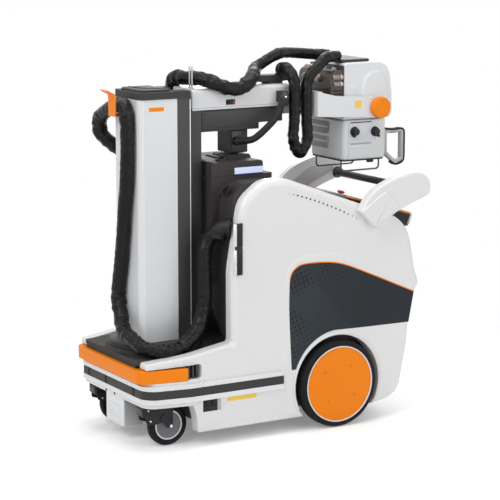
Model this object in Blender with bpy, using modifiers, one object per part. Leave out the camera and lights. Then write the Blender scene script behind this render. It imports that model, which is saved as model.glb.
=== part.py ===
"""Portable x-ray machine: motorised base, turning column, telescoping boom and tube head.

Metres, +Z up, floor at z = 0. The front with the column faces -Y, the wheels roll along Y,
and the origin is on the floor under the middle of the machine.
"""
from math import atan2, cos, degrees, pi, radians, sin, sqrt, tan

import bmesh
import bpy
from mathutils import Matrix, Vector

# Gaps and fits
SEAT = 0.0003            # between pieces that rest on each other
GUIDE = 0.0005           # sliding and turning fits
CLEAR = 0.006            # between pieces that pass each other

# Overall stations
FRONT_Y = -0.635         # front face of the bumper
BODY_HALF_W = 0.300      # outer face of the side panels
PANEL_T = 0.050          # thickness of a side panel
CORE_HALF_W = BODY_HALF_W - PANEL_T - SEAT
TAPER_Y = -0.440         # ahead of here the base narrows
TAPER = 0.16             # inwards for each metre forwards
SKIRT_Z = 0.058          # lower edge of the skirt
NOSE_Y = -0.6095         # front of the base behind the bumper
NOSE_R = 0.055           # its corners seen from above
RAIL_Z = (0.180, 0.250)
SEAM_Z = 0.215           # panel and nose meet behind the rub rail
DECK_Z = 0.322           # top of the front base under its mat

# Drive wheels
WHEEL_R = 0.170
WHEEL_W = 0.056
WHEEL_Y = 0.2065
WHEEL_FACE_X = BODY_HALF_W + 0.022
HUB_R = 0.149
ARCH_R = 0.190
STUB_R = 0.0125

# Casters
CASTER_R = 0.079
CASTER_W = 0.032
CASTER_RIM_R = 0.056
CASTER_X = BODY_HALF_W - 0.100
CASTER_TRAIL = 0.035
CASTER_PIVOT_Y = -0.5225
CASTER_SWEEP = 0.125
CASTER_ARCH_Z = 0.168
CASTER_PIN_R = 0.008

# Column, mast and boom; the column's own stations are measured from its swing axis
COLUMN_Y = -0.436
COLUMN_HALF_W = 0.104
COLUMN_FRONT = -0.1045
COLUMN_RAIL = 0.0525
COLUMN_REAR = 0.1085
COLUMN_TOP = 1.285
COLUMN_CAP_T = 0.027
HOOK_REACH = 0.0602
SWING_R = 0.205          # hollow left for the column and its cable
PLINTH_R = 0.180
PLINTH_Z = 0.352
COLUMN_FOOT = 0.372
GUIDE_HALF_W = 0.045
GUIDE_FRONT = 0.066
MAST_HALF_W = 0.075
MAST_FRONT = 0.1265
MAST_REAR = 0.1735
MAST_FOOT = 0.400
MAST_LIFT = 0.720
BOOM_Z = 1.235           # roll axis
BOOM_FRONT = -0.3025
BOOM_END = 0.1825
BOOM_REACH = 0.360
SHELL_Z = BOOM_Z - 0.003
SHELL_H = 0.081
SHELL_TOP = SHELL_Z + SHELL_H
SHELL_HALF_W = 0.076
CARRIAGE_Z = SHELL_Z - 0.060
CARRIAGE_FOOT = CARRIAGE_Z - 0.024
CARRIAGE_HALF_W = 0.066
CARRIAGE_END = 0.0975
INNER_HALF_W = 0.045
INNER_Z = (BOOM_Z - 0.039, BOOM_Z + 0.039)
DOCK_Z = 1.052           # top of the rest on the body
DOCK_Y = (-0.1255, -0.0465)

# Tube head
COLLAR_R = 0.056
COLLAR_END = 0.2085
FORK_END = 0.2285
FORK_ARM_X = (0.1275, 0.1460)
TILT_Y = 0.4925
TILT_Z = BOOM_Z - 0.025
TILT_BOSS_R = 0.042
HEAD_HALF_W = 0.1205
BEAM_Y = 0.4425
HEAD_Z = TILT_Z - 0.0465       # underside of the tube housing
HEAD_TOP = TILT_Z + 0.176
HEAD_Y = (TILT_Y - 0.150, TILT_Y + 0.080)
COLLIMATOR_TOP = HEAD_Z - 0.0005
COLLIMATOR_Z = COLLIMATOR_TOP - 0.157

COLOURS = {
    # name: (red, green, blue), roughness, metallic
    "white": ((0.80, 0.81, 0.82), 0.35, 0.0),
    "silver": ((0.62, 0.64, 0.66), 0.35, 0.6),
    "charcoal": ((0.055, 0.050, 0.052), 0.55, 0.0),
    "black": ((0.015, 0.015, 0.016), 0.60, 0.0),
    "slate": ((0.030, 0.038, 0.048), 0.40, 0.0),
    "orange": ((0.95, 0.32, 0.010), 0.45, 0.0),
    "steel": ((0.55, 0.55, 0.56), 0.30, 1.0),
    "light": ((0.75, 0.82, 1.00), 0.30, 0.0),
    "fabric": ((0.018, 0.018, 0.020), 0.90, 0.0),
}


def clear_scene():
    for obj in list(bpy.data.objects):
        bpy.data.objects.remove(obj, do_unlink=True)


def collection(name):
    found = bpy.data.collections.new(name)
    bpy.context.scene.collection.children.link(found)
    return found


def material(name):
    found = bpy.data.materials.get(name)
    if found:
        return found
    colour, roughness, metallic = COLOURS[name]
    made = bpy.data.materials.new(name)
    made.use_nodes = True
    shader = made.node_tree.nodes["Principled BSDF"]
    shader.inputs["Base Color"].default_value = (*colour, 1.0)
    shader.inputs["Roughness"].default_value = roughness
    shader.inputs["Metallic"].default_value = metallic
    return made


clear_scene()
PARTS = collection("portable_xray_machine")
CUTTERS = collection("cutters")


# Making and placing

def settle(obj, home):
    """Keep an object in one collection only."""
    for old in list(obj.users_collection):
        old.objects.unlink(obj)
    home.objects.link(obj)
    return obj


def finish(obj, name, colour, body):
    """Name a piece, give it its colour and hang it on its body's empty."""
    obj.name = name
    obj.data.name = name
    obj.data.materials.clear()
    obj.data.materials.append(material(colour))
    settle(obj, PARTS)
    obj.parent = body
    obj.matrix_parent_inverse = body.matrix_world.inverted()
    return obj


def cutter(obj):
    settle(obj, CUTTERS)
    obj.hide_render = True
    obj.display_type = "WIRE"
    return obj


def empty(name, place):
    made = bpy.data.objects.new(name, None)
    made.location = place
    PARTS.objects.link(made)
    bpy.context.view_layer.update()
    return made


def box(x, y, z, round_by=0.0, segments=3):
    """A block between the given limits, with all its edges rounded if asked."""
    low = Vector((x[0], y[0], z[0]))
    high = Vector((x[1], y[1], z[1]))
    bpy.ops.mesh.primitive_cube_add(size=1, location=(low + high) / 2)
    obj = bpy.context.object
    obj.data.transform(Matrix.Diagonal((*(high - low), 1)))
    if round_by:
        bevel(obj, round_by, segments)
    return obj


def rod(radius, start, end, sides=32):
    """A cylinder from one point to another."""
    start, end = Vector(start), Vector(end)
    span = end - start
    bpy.ops.mesh.primitive_cylinder_add(vertices=sides, radius=radius, depth=span.length,
                                        location=(start + end) / 2)
    obj = bpy.context.object
    obj.rotation_mode = "QUATERNION"
    obj.rotation_quaternion = Vector((0, 0, 1)).rotation_difference(span)
    obj.data.shade_smooth()
    obj.data.set_sharp_from_angle(angle=radians(40))
    bpy.context.view_layer.update()
    return obj


def bevel(obj, width, segments=2, angle=35):
    mod = obj.modifiers.new("bevel", "BEVEL")
    mod.width = width
    mod.segments = segments
    mod.limit_method = "ANGLE"
    mod.angle_limit = radians(angle)
    return obj


def boolean(obj, tool, operation):
    mod = obj.modifiers.new(operation.lower(), "BOOLEAN")
    mod.operation = operation
    mod.object = cutter(tool)
    mod.solver = "EXACT"
    return obj


def cut(obj, *tools):
    for tool in tools:
        boolean(obj, tool, "DIFFERENCE")
    return obj


def join(obj, *tools):
    for tool in tools:
        boolean(obj, tool, "UNION")
    return obj


def keep(obj, tool):
    return boolean(obj, tool, "INTERSECT")


# Outlines

def rounded(rows, steps=5):
    """Points of a closed outline from rows of corner and fillet radius."""
    points = []
    count = len(rows)
    for index, (u, v, radius) in enumerate(rows):
        corner = Vector((u, v))
        before = Vector(rows[index - 1][:2]) - corner
        after = Vector(rows[(index + 1) % count][:2]) - corner
        if radius == 0:
            points.append(corner)
            continue
        half = before.angle(after) / 2
        reach = radius / tan(half)
        centre = corner + (before.normalized() + after.normalized()).normalized() * radius / sin(half)
        start = corner + before.normalized() * reach - centre
        sweep = start.angle_signed(corner + after.normalized() * reach - centre)
        for step in range(steps + 1):
            turn = -sweep * step / steps
            points.append(centre + Matrix.Rotation(turn, 2) @ start)
    return points


def arc(centre, radius, first, last, steps):
    """Points along an arc, angles in degrees."""
    angles = [radians(first + (last - first) * step / steps) for step in range(steps + 1)]
    return [Vector((centre[0] + radius * cos(a), centre[1] + radius * sin(a))) for a in angles]


TURNS = {
    "X": Matrix(((0, 0, 1), (1, 0, 0), (0, 1, 0))),      # outline in Y and Z
    "Y": Matrix(((1, 0, 0), (0, 0, -1), (0, 1, 0))),     # outline in X and Z
    "Z": Matrix.Identity(3),                             # outline in X and Y
}


def slab(points, along, low, high):
    """A flat outline given thickness along an axis, as a mesh with clean caps."""
    curve = bpy.data.curves.new("outline", "CURVE")
    curve.dimensions = "2D"
    curve.fill_mode = "BOTH"
    curve.extrude = (high - low) / 2
    spline = curve.splines.new("POLY")
    spline.points.add(len(points) - 1)
    for point, place in zip(spline.points, points):
        point.co = (place[0], place[1], 0, 1)
    spline.use_cyclic_u = True
    guide = bpy.data.objects.new("outline", curve)
    guide.matrix_world = Matrix.Translation({"X": ((high + low) / 2, 0, 0), "Y": (0, (high + low) / 2, 0),
                                             "Z": (0, 0, (high + low) / 2)}[along]) @ TURNS[along].to_4x4()
    return to_mesh(guide)


def to_mesh(guide):
    """Turn a curve object into a mesh object with its caps welded on."""
    CUTTERS.objects.link(guide)
    bpy.context.view_layer.update()
    seen = guide.evaluated_get(bpy.context.evaluated_depsgraph_get())
    mesh = bpy.data.meshes.new_from_object(seen)
    work = bmesh.new()
    work.from_mesh(mesh)
    bmesh.ops.remove_doubles(work, verts=work.verts, dist=0.00001)
    bmesh.ops.dissolve_limit(work, angle_limit=radians(0.4), verts=work.verts, edges=work.edges)
    bmesh.ops.recalc_face_normals(work, faces=work.faces)
    work.to_mesh(mesh)
    work.free()
    obj = bpy.data.objects.new("solid", mesh)
    obj.matrix_world = guide.matrix_world
    CUTTERS.objects.link(obj)
    bpy.data.objects.remove(guide, do_unlink=True)
    bpy.context.view_layer.update()
    return obj


def turned(rows, centre, axis, sides=48):
    """A body of revolution: rows of radius and distance along the axis, outer side first."""
    work = bmesh.new()
    ring = [work.verts.new((radius, 0, along)) for radius, along in rows]
    for one, two in zip(ring, ring[1:]):
        work.edges.new((one, two))
    mesh = bpy.data.meshes.new("profile")
    work.to_mesh(mesh)
    work.free()
    obj = bpy.data.objects.new("profile", mesh)
    screw = obj.modifiers.new("screw", "SCREW")
    screw.steps = sides
    screw.render_steps = sides
    screw.use_merge_vertices = True
    screw.merge_threshold = 0.00001
    obj.rotation_mode = "QUATERNION"
    obj.rotation_quaternion = Vector((0, 0, 1)).rotation_difference(Vector(axis))
    obj.location = centre
    CUTTERS.objects.link(obj)
    bpy.context.view_layer.update()
    return close_turned(obj)


def close_turned(obj):
    """Make a turned body's mesh real, welded and facing outwards."""
    seen = obj.evaluated_get(bpy.context.evaluated_depsgraph_get())
    mesh = bpy.data.meshes.new_from_object(seen)
    obj.modifiers.clear()
    work = bmesh.new()
    work.from_mesh(mesh)
    bmesh.ops.remove_doubles(work, verts=work.verts, dist=0.00001)
    bmesh.ops.recalc_face_normals(work, faces=work.faces)
    work.to_mesh(mesh)
    work.free()
    obj.data = mesh
    mesh.shade_smooth()
    mesh.set_sharp_from_angle(angle=radians(35))
    return obj


def tube(points, radius, resolution=3):
    """A round tube on the given points, with filled caps."""
    curve = bpy.data.curves.new("tube", "CURVE")
    curve.dimensions = "3D"
    curve.bevel_depth = radius
    curve.bevel_resolution = resolution
    curve.use_fill_caps = True
    spline = curve.splines.new("POLY")
    spline.points.add(len(points) - 1)
    for point, place in zip(spline.points, points):
        point.co = (*place, 1)
    obj = bpy.data.objects.new("tube", curve)
    PARTS.objects.link(obj)
    return obj


def smooth_path(points, spacing):
    """Points evenly spaced along a smooth curve through the given ones."""
    ends = [2 * points[0] - points[1]] + list(points) + [2 * points[-1] - points[-2]]
    fine = []
    for index in range(len(points) - 1):
        a, b, c, d = ends[index:index + 4]
        for step in range(12):
            t = step / 12
            fine.append(0.5 * (2 * b + (c - a) * t + (2 * a - 5 * b + 4 * c - d) * t ** 2
                               + (3 * b - a - 3 * c + d) * t ** 3))
    fine.append(points[-1])
    lengths = [0.0]
    for one, two in zip(fine, fine[1:]):
        lengths.append(lengths[-1] + (two - one).length)
    count = max(2, round(lengths[-1] / spacing))
    out = []
    for step in range(count + 1):
        goal = lengths[-1] * step / count
        index = max(i for i, length in enumerate(lengths[:-1]) if length <= goal + 1e-9)
        span = lengths[index + 1] - lengths[index]
        out.append(fine[index].lerp(fine[index + 1], (goal - lengths[index]) / span))
    return out


# The bodies' empties, each on its joint's axis

BASE = empty("base", (0, 0, 0))
COLUMN = empty("column", (0, COLUMN_Y, 0))
MAST = empty("mast", (0, COLUMN_Y, COLUMN_TOP))
BOOM = empty("boom", (0, BOOM_END, BOOM_Z))
YOKE = empty("yoke", (0, COLLAR_END, BOOM_Z))
HEAD = empty("head", (0, TILT_Y, TILT_Z))
COLLIMATOR = empty("collimator", (0, BEAM_Y, COLLIMATOR_TOP))
SIDES = (("right", 1), ("left", -1))
CASTER_Y = CASTER_PIVOT_Y + CASTER_TRAIL
CASTERS = {side: empty(f"caster_swivel_{side}", (sign * CASTER_X, CASTER_PIVOT_Y, CASTER_R)) for side, sign in SIDES}
CASTER_WHEELS = {side: empty(f"caster_spin_{side}", (sign * CASTER_X, CASTER_Y, CASTER_R))
                 for side, sign in SIDES}
WHEELS = {side: empty(f"wheel_spin_{side}", (sign * WHEEL_FACE_X, WHEEL_Y, WHEEL_R)) for side, sign in SIDES}

# Side outline of the body

ARCH_REAR_Z = 0.066
CASTER_ARCH_Y = -0.4075
SLOT_Y = (-0.4470, -0.3920)
SLOT_Z = (0.2640, 0.3200)
BODY_TOP = (
    # y, z, fillet radius: from the deck corner over the top and down to the arch
    (-0.2575, 0.382, 0.012),
    (-0.2410, 0.985, 0.090),
    (-0.0270, 0.985, 0.200),
    (0.5358, 0.7796, 0.160),
    (0.5855, 0.525, 0.014),
    (0.5645, 0.497, 0.004),
    (0.5405, 0.381, 0.050),
    (0.5300, 0.280, 0.100),
    (0.4950, 0.083, 0.060),
    (0.4450, 0.079, 0.050),
)

PANEL_FRONT = (
    # the side panels' own front edge, drawn back from the dark shoulder at the top
    (-0.2600, 0.382, 0.012),
    (-0.2600, 0.655, 0.300),
    (-0.2150, 0.914, 0.110),
    (-0.1250, 0.983, 0.110),
    (-0.0270, 0.985, 0.180),
)


def body_outline():
    """The side panel with its forward arm, skirt and wheel arch."""
    rear = sqrt(ARCH_R ** 2 - (WHEEL_R - ARCH_REAR_Z) ** 2)
    front = sqrt(ARCH_R ** 2 - (WHEEL_R - SKIRT_Z) ** 2)
    first = degrees(atan2(ARCH_REAR_Z - WHEEL_R, rear))
    last = 360 + degrees(atan2(SKIRT_Z - WHEEL_R, -front))
    rows = [
        (CASTER_ARCH_Y, SKIRT_Z, 0.004),
        (CASTER_ARCH_Y, SEAM_Z + SEAT, 0),
        (SLOT_Y[0], SEAM_Z + SEAT, 0),
        (SLOT_Y[0], SLOT_Z[0], 0),
        (SLOT_Y[1], SLOT_Z[0], 0.013),
        (SLOT_Y[1], SLOT_Z[1], 0.016),
        (NOSE_Y, 0.3115, 0.004),
        (NOSE_Y, 0.3340, 0.012),
        (-0.4300, 0.3530, 0.300),
        *PANEL_FRONT,
        *BODY_TOP[3:],
        (WHEEL_Y + rear, ARCH_REAR_Z, 0),
        (WHEEL_Y - front, SKIRT_Z, 0),
    ]
    points = rounded(rows)
    arch = arc((WHEEL_Y, WHEEL_R), ARCH_R, first, last, 28)
    return points[:-1] + arch[1:-1] + points[-1:]


def core_outline(inset):
    """The body between the side panels, closed straight along the floor side."""
    bottom = BODY_TOP[-1][1]
    rows = [(BODY_TOP[0][0], bottom, 0), *BODY_TOP[1:]]
    return offset(rounded(rows), inset)


def half_width(y, inset=0.0):
    """Half the width of the body at a station, narrowing towards the nose."""
    return BODY_HALF_W - inset - TAPER * max(0.0, TAPER_Y - y)


def taper(obj):
    """Draw in what lies ahead of the taper's station."""
    work = bmesh.new()
    work.from_mesh(obj.data)
    work.transform(obj.matrix_world)
    bmesh.ops.bisect_plane(work, geom=[*work.verts, *work.edges, *work.faces],
                           plane_co=(0, TAPER_Y, 0), plane_no=(0, 1, 0))
    for vert in work.verts:
        ahead = max(0.0, TAPER_Y - vert.co.y)
        vert.co.x -= TAPER * ahead * (1 if vert.co.x > 0 else -1)
    work.transform(obj.matrix_world.inverted())
    work.to_mesh(obj.data)
    work.free()
    return obj


def offset(points, distance):
    """The outline moved inwards by a distance, for one whose points run clockwise."""
    moved = []
    for index, point in enumerate(points):
        before = (point - points[index - 1]).normalized()
        after = (points[(index + 1) % len(points)] - point).normalized()
        normal = Vector((before.y + after.y, -before.x - after.x)).normalized()
        moved.append(point + normal * distance / max(0.5, normal.dot(Vector((before.y, -before.x)))))
    return moved


GRAPHIC = (
    # y, z, fillet radius
    (0.0130, 0.245, 0.004),
    (-0.0100, 0.400, 0.100),
    (-0.0180, 0.560, 0.080),
    (0.0120, 0.652, 0.060),
    (0.1600, 0.662, 0.150),
    (0.3300, 0.600, 0.300),
    (0.5590, 0.500, 0.006),
    (0.5340, 0.376, 0.006),
    (0.2400, 0.383, 0.120),
    (0.0700, 0.350, 0.160),
    (0.0260, 0.245, 0.004),
)
GRAPHIC_T = 0.004
RIM = 0.011              # rounding of the panels' outer edges
BOX_REAR_Y = -0.1425     # where the front base ends under the cabinet
MAT_Z = 0.337
MAT_FRONT = -0.6180
CHASSIS_Z = 0.085
CHASSIS_Y = (-0.395, 0.480)
FLANGE_R = 0.045
POWER_HALF_W = CORE_HALF_W - 0.0402
POWER_Y = (-0.1295, 0.4395)
POWER_Z = (0.1303, 0.600)
BUMPER_Z = (0.2600, 0.3085)
RAIL_END = -0.0390
RAIL_T = 0.0090
STRIP_Z = (0.2000, 0.2320)
GROOVE_T = 0.0045
CORE_INSET = 0.012       # the cabinet stands this far behind the panels' edges
FOOT_R = 0.296           # the hollow round the column opens out to this at the deck
TRIM_Y = -0.2500         # the flaps cover the slots at the panel's front edge
COVER_TOP = 0.857        # the seam across the cabinet's front
COVER_REAR = POWER_Y[0] - GUIDE
BLOCK_HALF_W = 0.150
BLOCK_FRONT = -0.2645
BLOCK_Z = (0.600, 0.989)
CAP_Z = (0.9893, 1.040)
CAP_REAR = -0.0405
LIGHT_Z = (0.9930, 1.0165)
WING_T = 0.0347
HANDLE_YZ = (0.5925, 0.893)


def plan(front, radius, rear, inset=0.0):
    """Outline seen from above: square at the rear, tapered and rounded at the front."""
    side = [(half_width(rear, inset), rear, 0), (half_width(TAPER_Y, inset), TAPER_Y, 0),
            (half_width(front, inset), front, radius)]
    return rounded(side + [(-x, y, r) for x, y, r in reversed(side)])


def band(outer, inner, rear):
    """A band round the nose between two distances out from it, open to the rear."""
    def side(grow):
        return [(half_width(rear) + grow, rear, 0), (half_width(TAPER_Y) + grow, TAPER_Y, 0),
                (half_width(NOSE_Y) + grow, NOSE_Y - grow, NOSE_R + grow)]

    far = side(outer)
    near = side(inner)
    rows = far + [(-x, y, r) for x, y, r in reversed(far)]
    rows += [(-x, y, r) for x, y, r in near] + list(reversed(near))
    return rounded(rows)


def core(inset, low, high):
    return slab(core_outline(inset), "X", low, high)


# Base

def side_panels():
    for side, sign in SIDES:
        inner, outer = sorted((sign * (BODY_HALF_W - PANEL_T), sign * BODY_HALF_W))
        panel = taper(slab(body_outline(), "X", inner, outer))
        round_rim(panel, sign)
        face = sorted((sign * (BODY_HALF_W - GRAPHIC_T), sign * (BODY_HALF_W + CLEAR)))
        cut(panel, slab(offset(rounded(GRAPHIC), -SEAT), "X", *face))
        finish(panel, f"side_panel_{side}", "white", BASE)
        face = sorted((sign * (BODY_HALF_W - GRAPHIC_T + SEAT), sign * (BODY_HALF_W - 0.0008)))
        finish(slab(rounded(GRAPHIC), "X", *face), f"side_inlay_{side}", "slate", BASE)


def round_rim(panel, sign):
    """Bevel the outer edge along the deck, over the top and down the rear."""
    mesh = panel.data
    weights = mesh.attributes.new("bevel_weight_edge", "FLOAT", "EDGE")
    place = panel.matrix_world

    def on_rim(vert):
        spot = place @ vert.co
        outside = sign * spot.x > half_width(spot.y) - 0.0001
        off_arch = Vector((spot.y - WHEEL_Y, spot.z - WHEEL_R)).length > ARCH_R + 0.005
        return outside and off_arch and (spot.z > SLOT_Z[1] + 0.003 or spot.y > 0.40)

    for edge in mesh.edges:
        if all(on_rim(mesh.vertices[index]) for index in edge.vertices):
            weights.data[edge.index].value = 1.0
    mod = panel.modifiers.new("rim", "BEVEL")
    mod.limit_method = "WEIGHT"
    mod.width = RIM
    mod.segments = 3


def caster_bores(obj, low, high):
    for side, sign in SIDES:
        x = sign * CASTER_X
        cut(obj, rod(CASTER_PIN_R + GUIDE, (x, CASTER_PIVOT_Y, low), (x, CASTER_PIVOT_Y, high), 24))


def power_space(grow):
    return box((-POWER_HALF_W - grow, POWER_HALF_W + grow), (POWER_Y[0] - grow, POWER_Y[1] + grow),
               (POWER_Z[0] - SEAT, POWER_Z[1] + grow))


def chassis():
    """Floor tray with the casters' plate in front and the drive wheels' stub axles."""
    outline = [(CHASSIS_Y[0], CHASSIS_Z, 0.012), (CHASSIS_Y[0], SEAM_Z - SEAT, 0),
               (BOX_REAR_Y + SEAT, SEAM_Z - SEAT, 0), (BOX_REAR_Y + SEAT, DECK_Z, 0),
               (CHASSIS_Y[1], DECK_Z, 0), (CHASSIS_Y[1], CHASSIS_Z, 0.012)]
    tray = slab(rounded(outline), "X", -CORE_HALF_W, CORE_HALF_W)
    plate_half = BODY_HALF_W - 0.055
    join(tray, box((-plate_half, plate_half), (-0.590, CHASSIS_Y[0] + 0.02), (0.172, 0.180)))
    for side, sign in SIDES:
        inner = (sign * (CORE_HALF_W - 0.01), WHEEL_Y, WHEEL_R)
        join(tray, rod(FLANGE_R, inner, (sign * (BODY_HALF_W - 0.038), WHEEL_Y, WHEEL_R), 32))
        join(tray, rod(STUB_R, inner, (sign * (WHEEL_FACE_X - 0.012), WHEEL_Y, WHEEL_R), 24))
    cut(tray, power_space(GUIDE))
    caster_bores(tray, 0.10, 0.30)
    finish(tray, "chassis", "charcoal", BASE)
    block = box((-POWER_HALF_W, POWER_HALF_W), POWER_Y, POWER_Z)
    finish(block, "power_unit", "steel", BASE)


def base_shell():
    """The front base: a lipped plate over the casters and the box under the deck."""
    shell = slab(plan(NOSE_Y, NOSE_R, CASTER_ARCH_Y - SEAT), "Z", 0.165, BUMPER_Z[0] - SEAT)
    for side, sign in SIDES:
        x = sorted((sign * (BODY_HALF_W - PANEL_T - 0.0025), sign * (BODY_HALF_W + 0.10)))
        cut(shell, box(x, (SLOT_Y[0] - SEAT, -0.30), (SEAM_Z - SEAT, 0.30)))
    join(shell, slab(plan(NOSE_Y + 0.009, 0.020, BOX_REAR_Y, PANEL_T + SEAT), "Z", SEAM_Z, DECK_Z))
    cut(shell, slab(plan(NOSE_Y + 0.004, NOSE_R - 0.004, -0.30, 0.004), "Z", 0.10, 0.1803))
    caster_bores(shell, 0.15, 0.190)
    finish(shell, "base_shell", "white", BASE)


def deck_mat():
    front = slab(plan(MAT_FRONT, 0.012, core_front(MAT_Z) - SEAT, PANEL_T + SEAT), "Z", DECK_Z + SEAT, MAT_Z)
    half = BODY_HALF_W - 0.095
    lip = [(-half, MAT_FRONT, 0), (half, MAT_FRONT, 0), (half, NOSE_Y + 0.0085, 0), (-half, NOSE_Y + 0.0085, 0)]
    join(front, slab(rounded(lip), "Z", BUMPER_Z[1] + 0.002, MAT_Z - 0.004))
    tongue = arc((0, COLUMN_Y), FOOT_R - SEAT, 35, 145, 20)
    join(front, slab(tongue, "Z", DECK_Z + SEAT, MAT_Z))
    join(front, rod(PLINTH_R, (0, COLUMN_Y, DECK_Z + 0.004), (0, COLUMN_Y, PLINTH_Z), 48))
    finish(front, "deck_mat", "charcoal", BASE)


def core_front(z):
    """Station of the cabinet's front face at a height."""
    low, high = BODY_TOP[0], BODY_TOP[1]
    return low[0] + CORE_INSET + (z - low[1]) * (high[0] - low[0]) / (high[1] - low[1])


def bumper():
    """The bar round the front, under the arms and the mat."""
    rear = SLOT_Y[0] - SEAT
    outer = [(half_width(rear) + 0.001, rear, 0), (half_width(FRONT_Y) + 0.001, FRONT_Y, 0.045)]
    inner = [(half_width(rear, PANEL_T), rear, 0),
             (half_width(NOSE_Y + 0.009, PANEL_T), NOSE_Y + 0.009 - SEAT, 0.019)]
    rows = outer + [(-x, y, r) for x, y, r in reversed(outer)]
    rows += [(-x, y, r) for x, y, r in inner] + list(reversed(inner))
    bar = slab(rounded(rows), "Z", BUMPER_Z[0], BUMPER_Z[1] + 0.0027)
    keep(bar, slab(rounded([(FRONT_Y, BUMPER_Z[0], 0.012), (FRONT_Y, BUMPER_Z[1], 0.012),
                            (NOSE_Y - 0.012, BUMPER_Z[1], 0), (-0.30, BUMPER_Z[1], 0),
                            (-0.30, BUMPER_Z[0], 0)]), "X", -0.4, 0.4))
    finish(bar, "bumper", "orange", BASE)


def rub_rail():
    """The rail round the nose and along the sides, with a dark strip in its groove."""
    rail = slab(band(RAIL_T, SEAT, RAIL_END), "Z", *RAIL_Z)
    cut(rail, slab(band(0.0200, GROOVE_T, RAIL_END + 0.02), "Z", STRIP_Z[0] - SEAT, STRIP_Z[1] + SEAT))
    finish(rail, "rub_rail", "silver", BASE)
    strip = slab(band(0.0070, GROOVE_T + SEAT, RAIL_END), "Z", *STRIP_Z)
    finish(strip, "rub_strip", "charcoal", BASE)


def sensor_box():
    sensor = box((-0.0725, 0.0725), (-0.6050, -0.5200), (0.050, 0.1717), 0.006, 2)
    finish(sensor, "sensor_box", "silver", BASE)


def hollow():
    """The space the column and its cable swing in, opening out at the deck."""
    rows = [(0, 0.300), (FOOT_R, 0.300), (FOOT_R, 0.345), (0.284, 0.372), (0.250, 0.420), (0.222, 0.485),
            (0.209, 0.550), (SWING_R, 0.620), (SWING_R, 1.100), (0, 1.100)]
    return turned(rows, (0, COLUMN_Y, 0), (0, 0, 1), 64)


def cabinet_form():
    """The body between the side panels, with the raised middle part behind the column."""
    body = core(CORE_INSET, -CORE_HALF_W, CORE_HALF_W)
    block = [(BLOCK_FRONT, BLOCK_Z[0], 0), (BLOCK_FRONT, BLOCK_Z[1], 0), (0.0, BLOCK_Z[1], 0),
             (0.0, BLOCK_Z[0], 0)]
    join(body, slab(rounded(block), "X", -BLOCK_HALF_W, BLOCK_HALF_W))
    cut(body, box((-0.4, 0.4), (-0.5, 0.8), (-0.1, DECK_Z + SEAT)),
        box((-0.4, 0.4), (CHASSIS_Y[1], 0.8), (0.0, 0.7453)), power_space(GUIDE), hollow())
    return body


def cabinet():
    body = cabinet_form()
    cut(body, box((-0.4, 0.4), (-0.5, COVER_REAR + SEAT), (0.0, COVER_TOP)))
    finish(body, "cabinet", "charcoal", BASE)


def front_cover():
    """The moulded cover behind the column, hollowed for its swing and flared at the deck."""
    cover = cabinet_form()
    keep(cover, box((-0.4, 0.4), (-0.5, COVER_REAR), (0.0, COVER_TOP - SEAT)))
    finish(cover, "front_cover", "charcoal", BASE)


def rear_panel():
    rear = core(CORE_INSET, -CORE_HALF_W, CORE_HALF_W)
    keep(rear, box((-0.4, 0.4), (CHASSIS_Y[1] + SEAT, 0.8), (0.070, 0.745)))
    finish(rear, "rear_panel", "white", BASE)


def light_plan(grow):
    out, inn = BLOCK_HALF_W + 0.004, BLOCK_HALF_W - 0.003 - grow
    return rounded([(out, -0.1645 - grow, 0), (out, -0.0370, 0.010), (-out, -0.0370, 0.010),
                    (-out, -0.1645 - grow, 0), (-inn, -0.1645 - grow, 0), (-inn, -0.0440 - grow, 0.004),
                    (inn, -0.0440 - grow, 0.004), (inn, -0.1645 - grow, 0)])


def top_cap():
    """The cover behind the column with the boom's rest, a cup and the status light."""
    cap = slab(rounded([(BLOCK_FRONT, CAP_Z[0], 0), (BLOCK_FRONT, CAP_Z[1], 0.012),
                        (CAP_REAR, CAP_Z[1], 0.012), (CAP_REAR, CAP_Z[0], 0)]), "X", -BLOCK_HALF_W - 0.002, BLOCK_HALF_W + 0.002)
    rest = [(-0.160, CAP_Z[1] - 0.008, 0), (-0.132, DOCK_Z, 0.004), (-0.0430, DOCK_Z, 0.002),
            (-0.0430, CAP_Z[1] - 0.008, 0)]
    join(cap, slab(rounded(rest), "X", -0.056, 0.056))
    join(cap, rod(0.030, (0.100, -0.185, 1.030), (0.100, -0.185, 1.046), 24))
    cut(cap, rod(SWING_R, (0, COLUMN_Y, 0.9), (0, COLUMN_Y, 1.2), 64),
        slab(light_plan(SEAT), "Z", LIGHT_Z[0] - SEAT, LIGHT_Z[1] + SEAT),
        rod(0.024, (0.100, -0.185, 1.036), (0.100, -0.185, 1.060), 24))
    finish(cap, "top_cap", "charcoal", BASE)
    finish(slab(light_plan(0), "Z", *LIGHT_Z), "status_light", "light", BASE)


PORT_IN = Vector((BODY_HALF_W - 0.0850, -0.2000, 0.7900))
PORT_MOUTH = PORT_IN + Vector((-0.0250, -0.0620, -0.0120))
PORT_R = 0.032


def hose_port():
    """The socket on the cabinet's front that the cable sleeve leaves from."""
    along = (PORT_MOUTH - PORT_IN).normalized()
    port = rod(PORT_R, PORT_IN, PORT_MOUTH, 24)
    cut(port, core(CORE_INSET - SEAT, -0.4, 0.4), rod(SLEEVE_R + 0.0012, PORT_MOUTH - 0.008 * along,
                                                      PORT_MOUTH + 0.02 * along, 24))
    finish(port, "hose_port", "black", BASE)


def slot_trim():
    """The dark strip with two flaps on the right side."""
    face = BODY_HALF_W
    strip = box((face + SEAT, face + 0.0040), (TRIM_Y, TRIM_Y + 0.0320), (0.637, 0.832), 0.001, 1)
    cut(strip, box((face + 0.0015, face + 0.02), (TRIM_Y - 0.1, TRIM_Y + 0.1), (0.735, 0.745)))
    finish(strip, "slot_trim", "charcoal", BASE)


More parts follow.
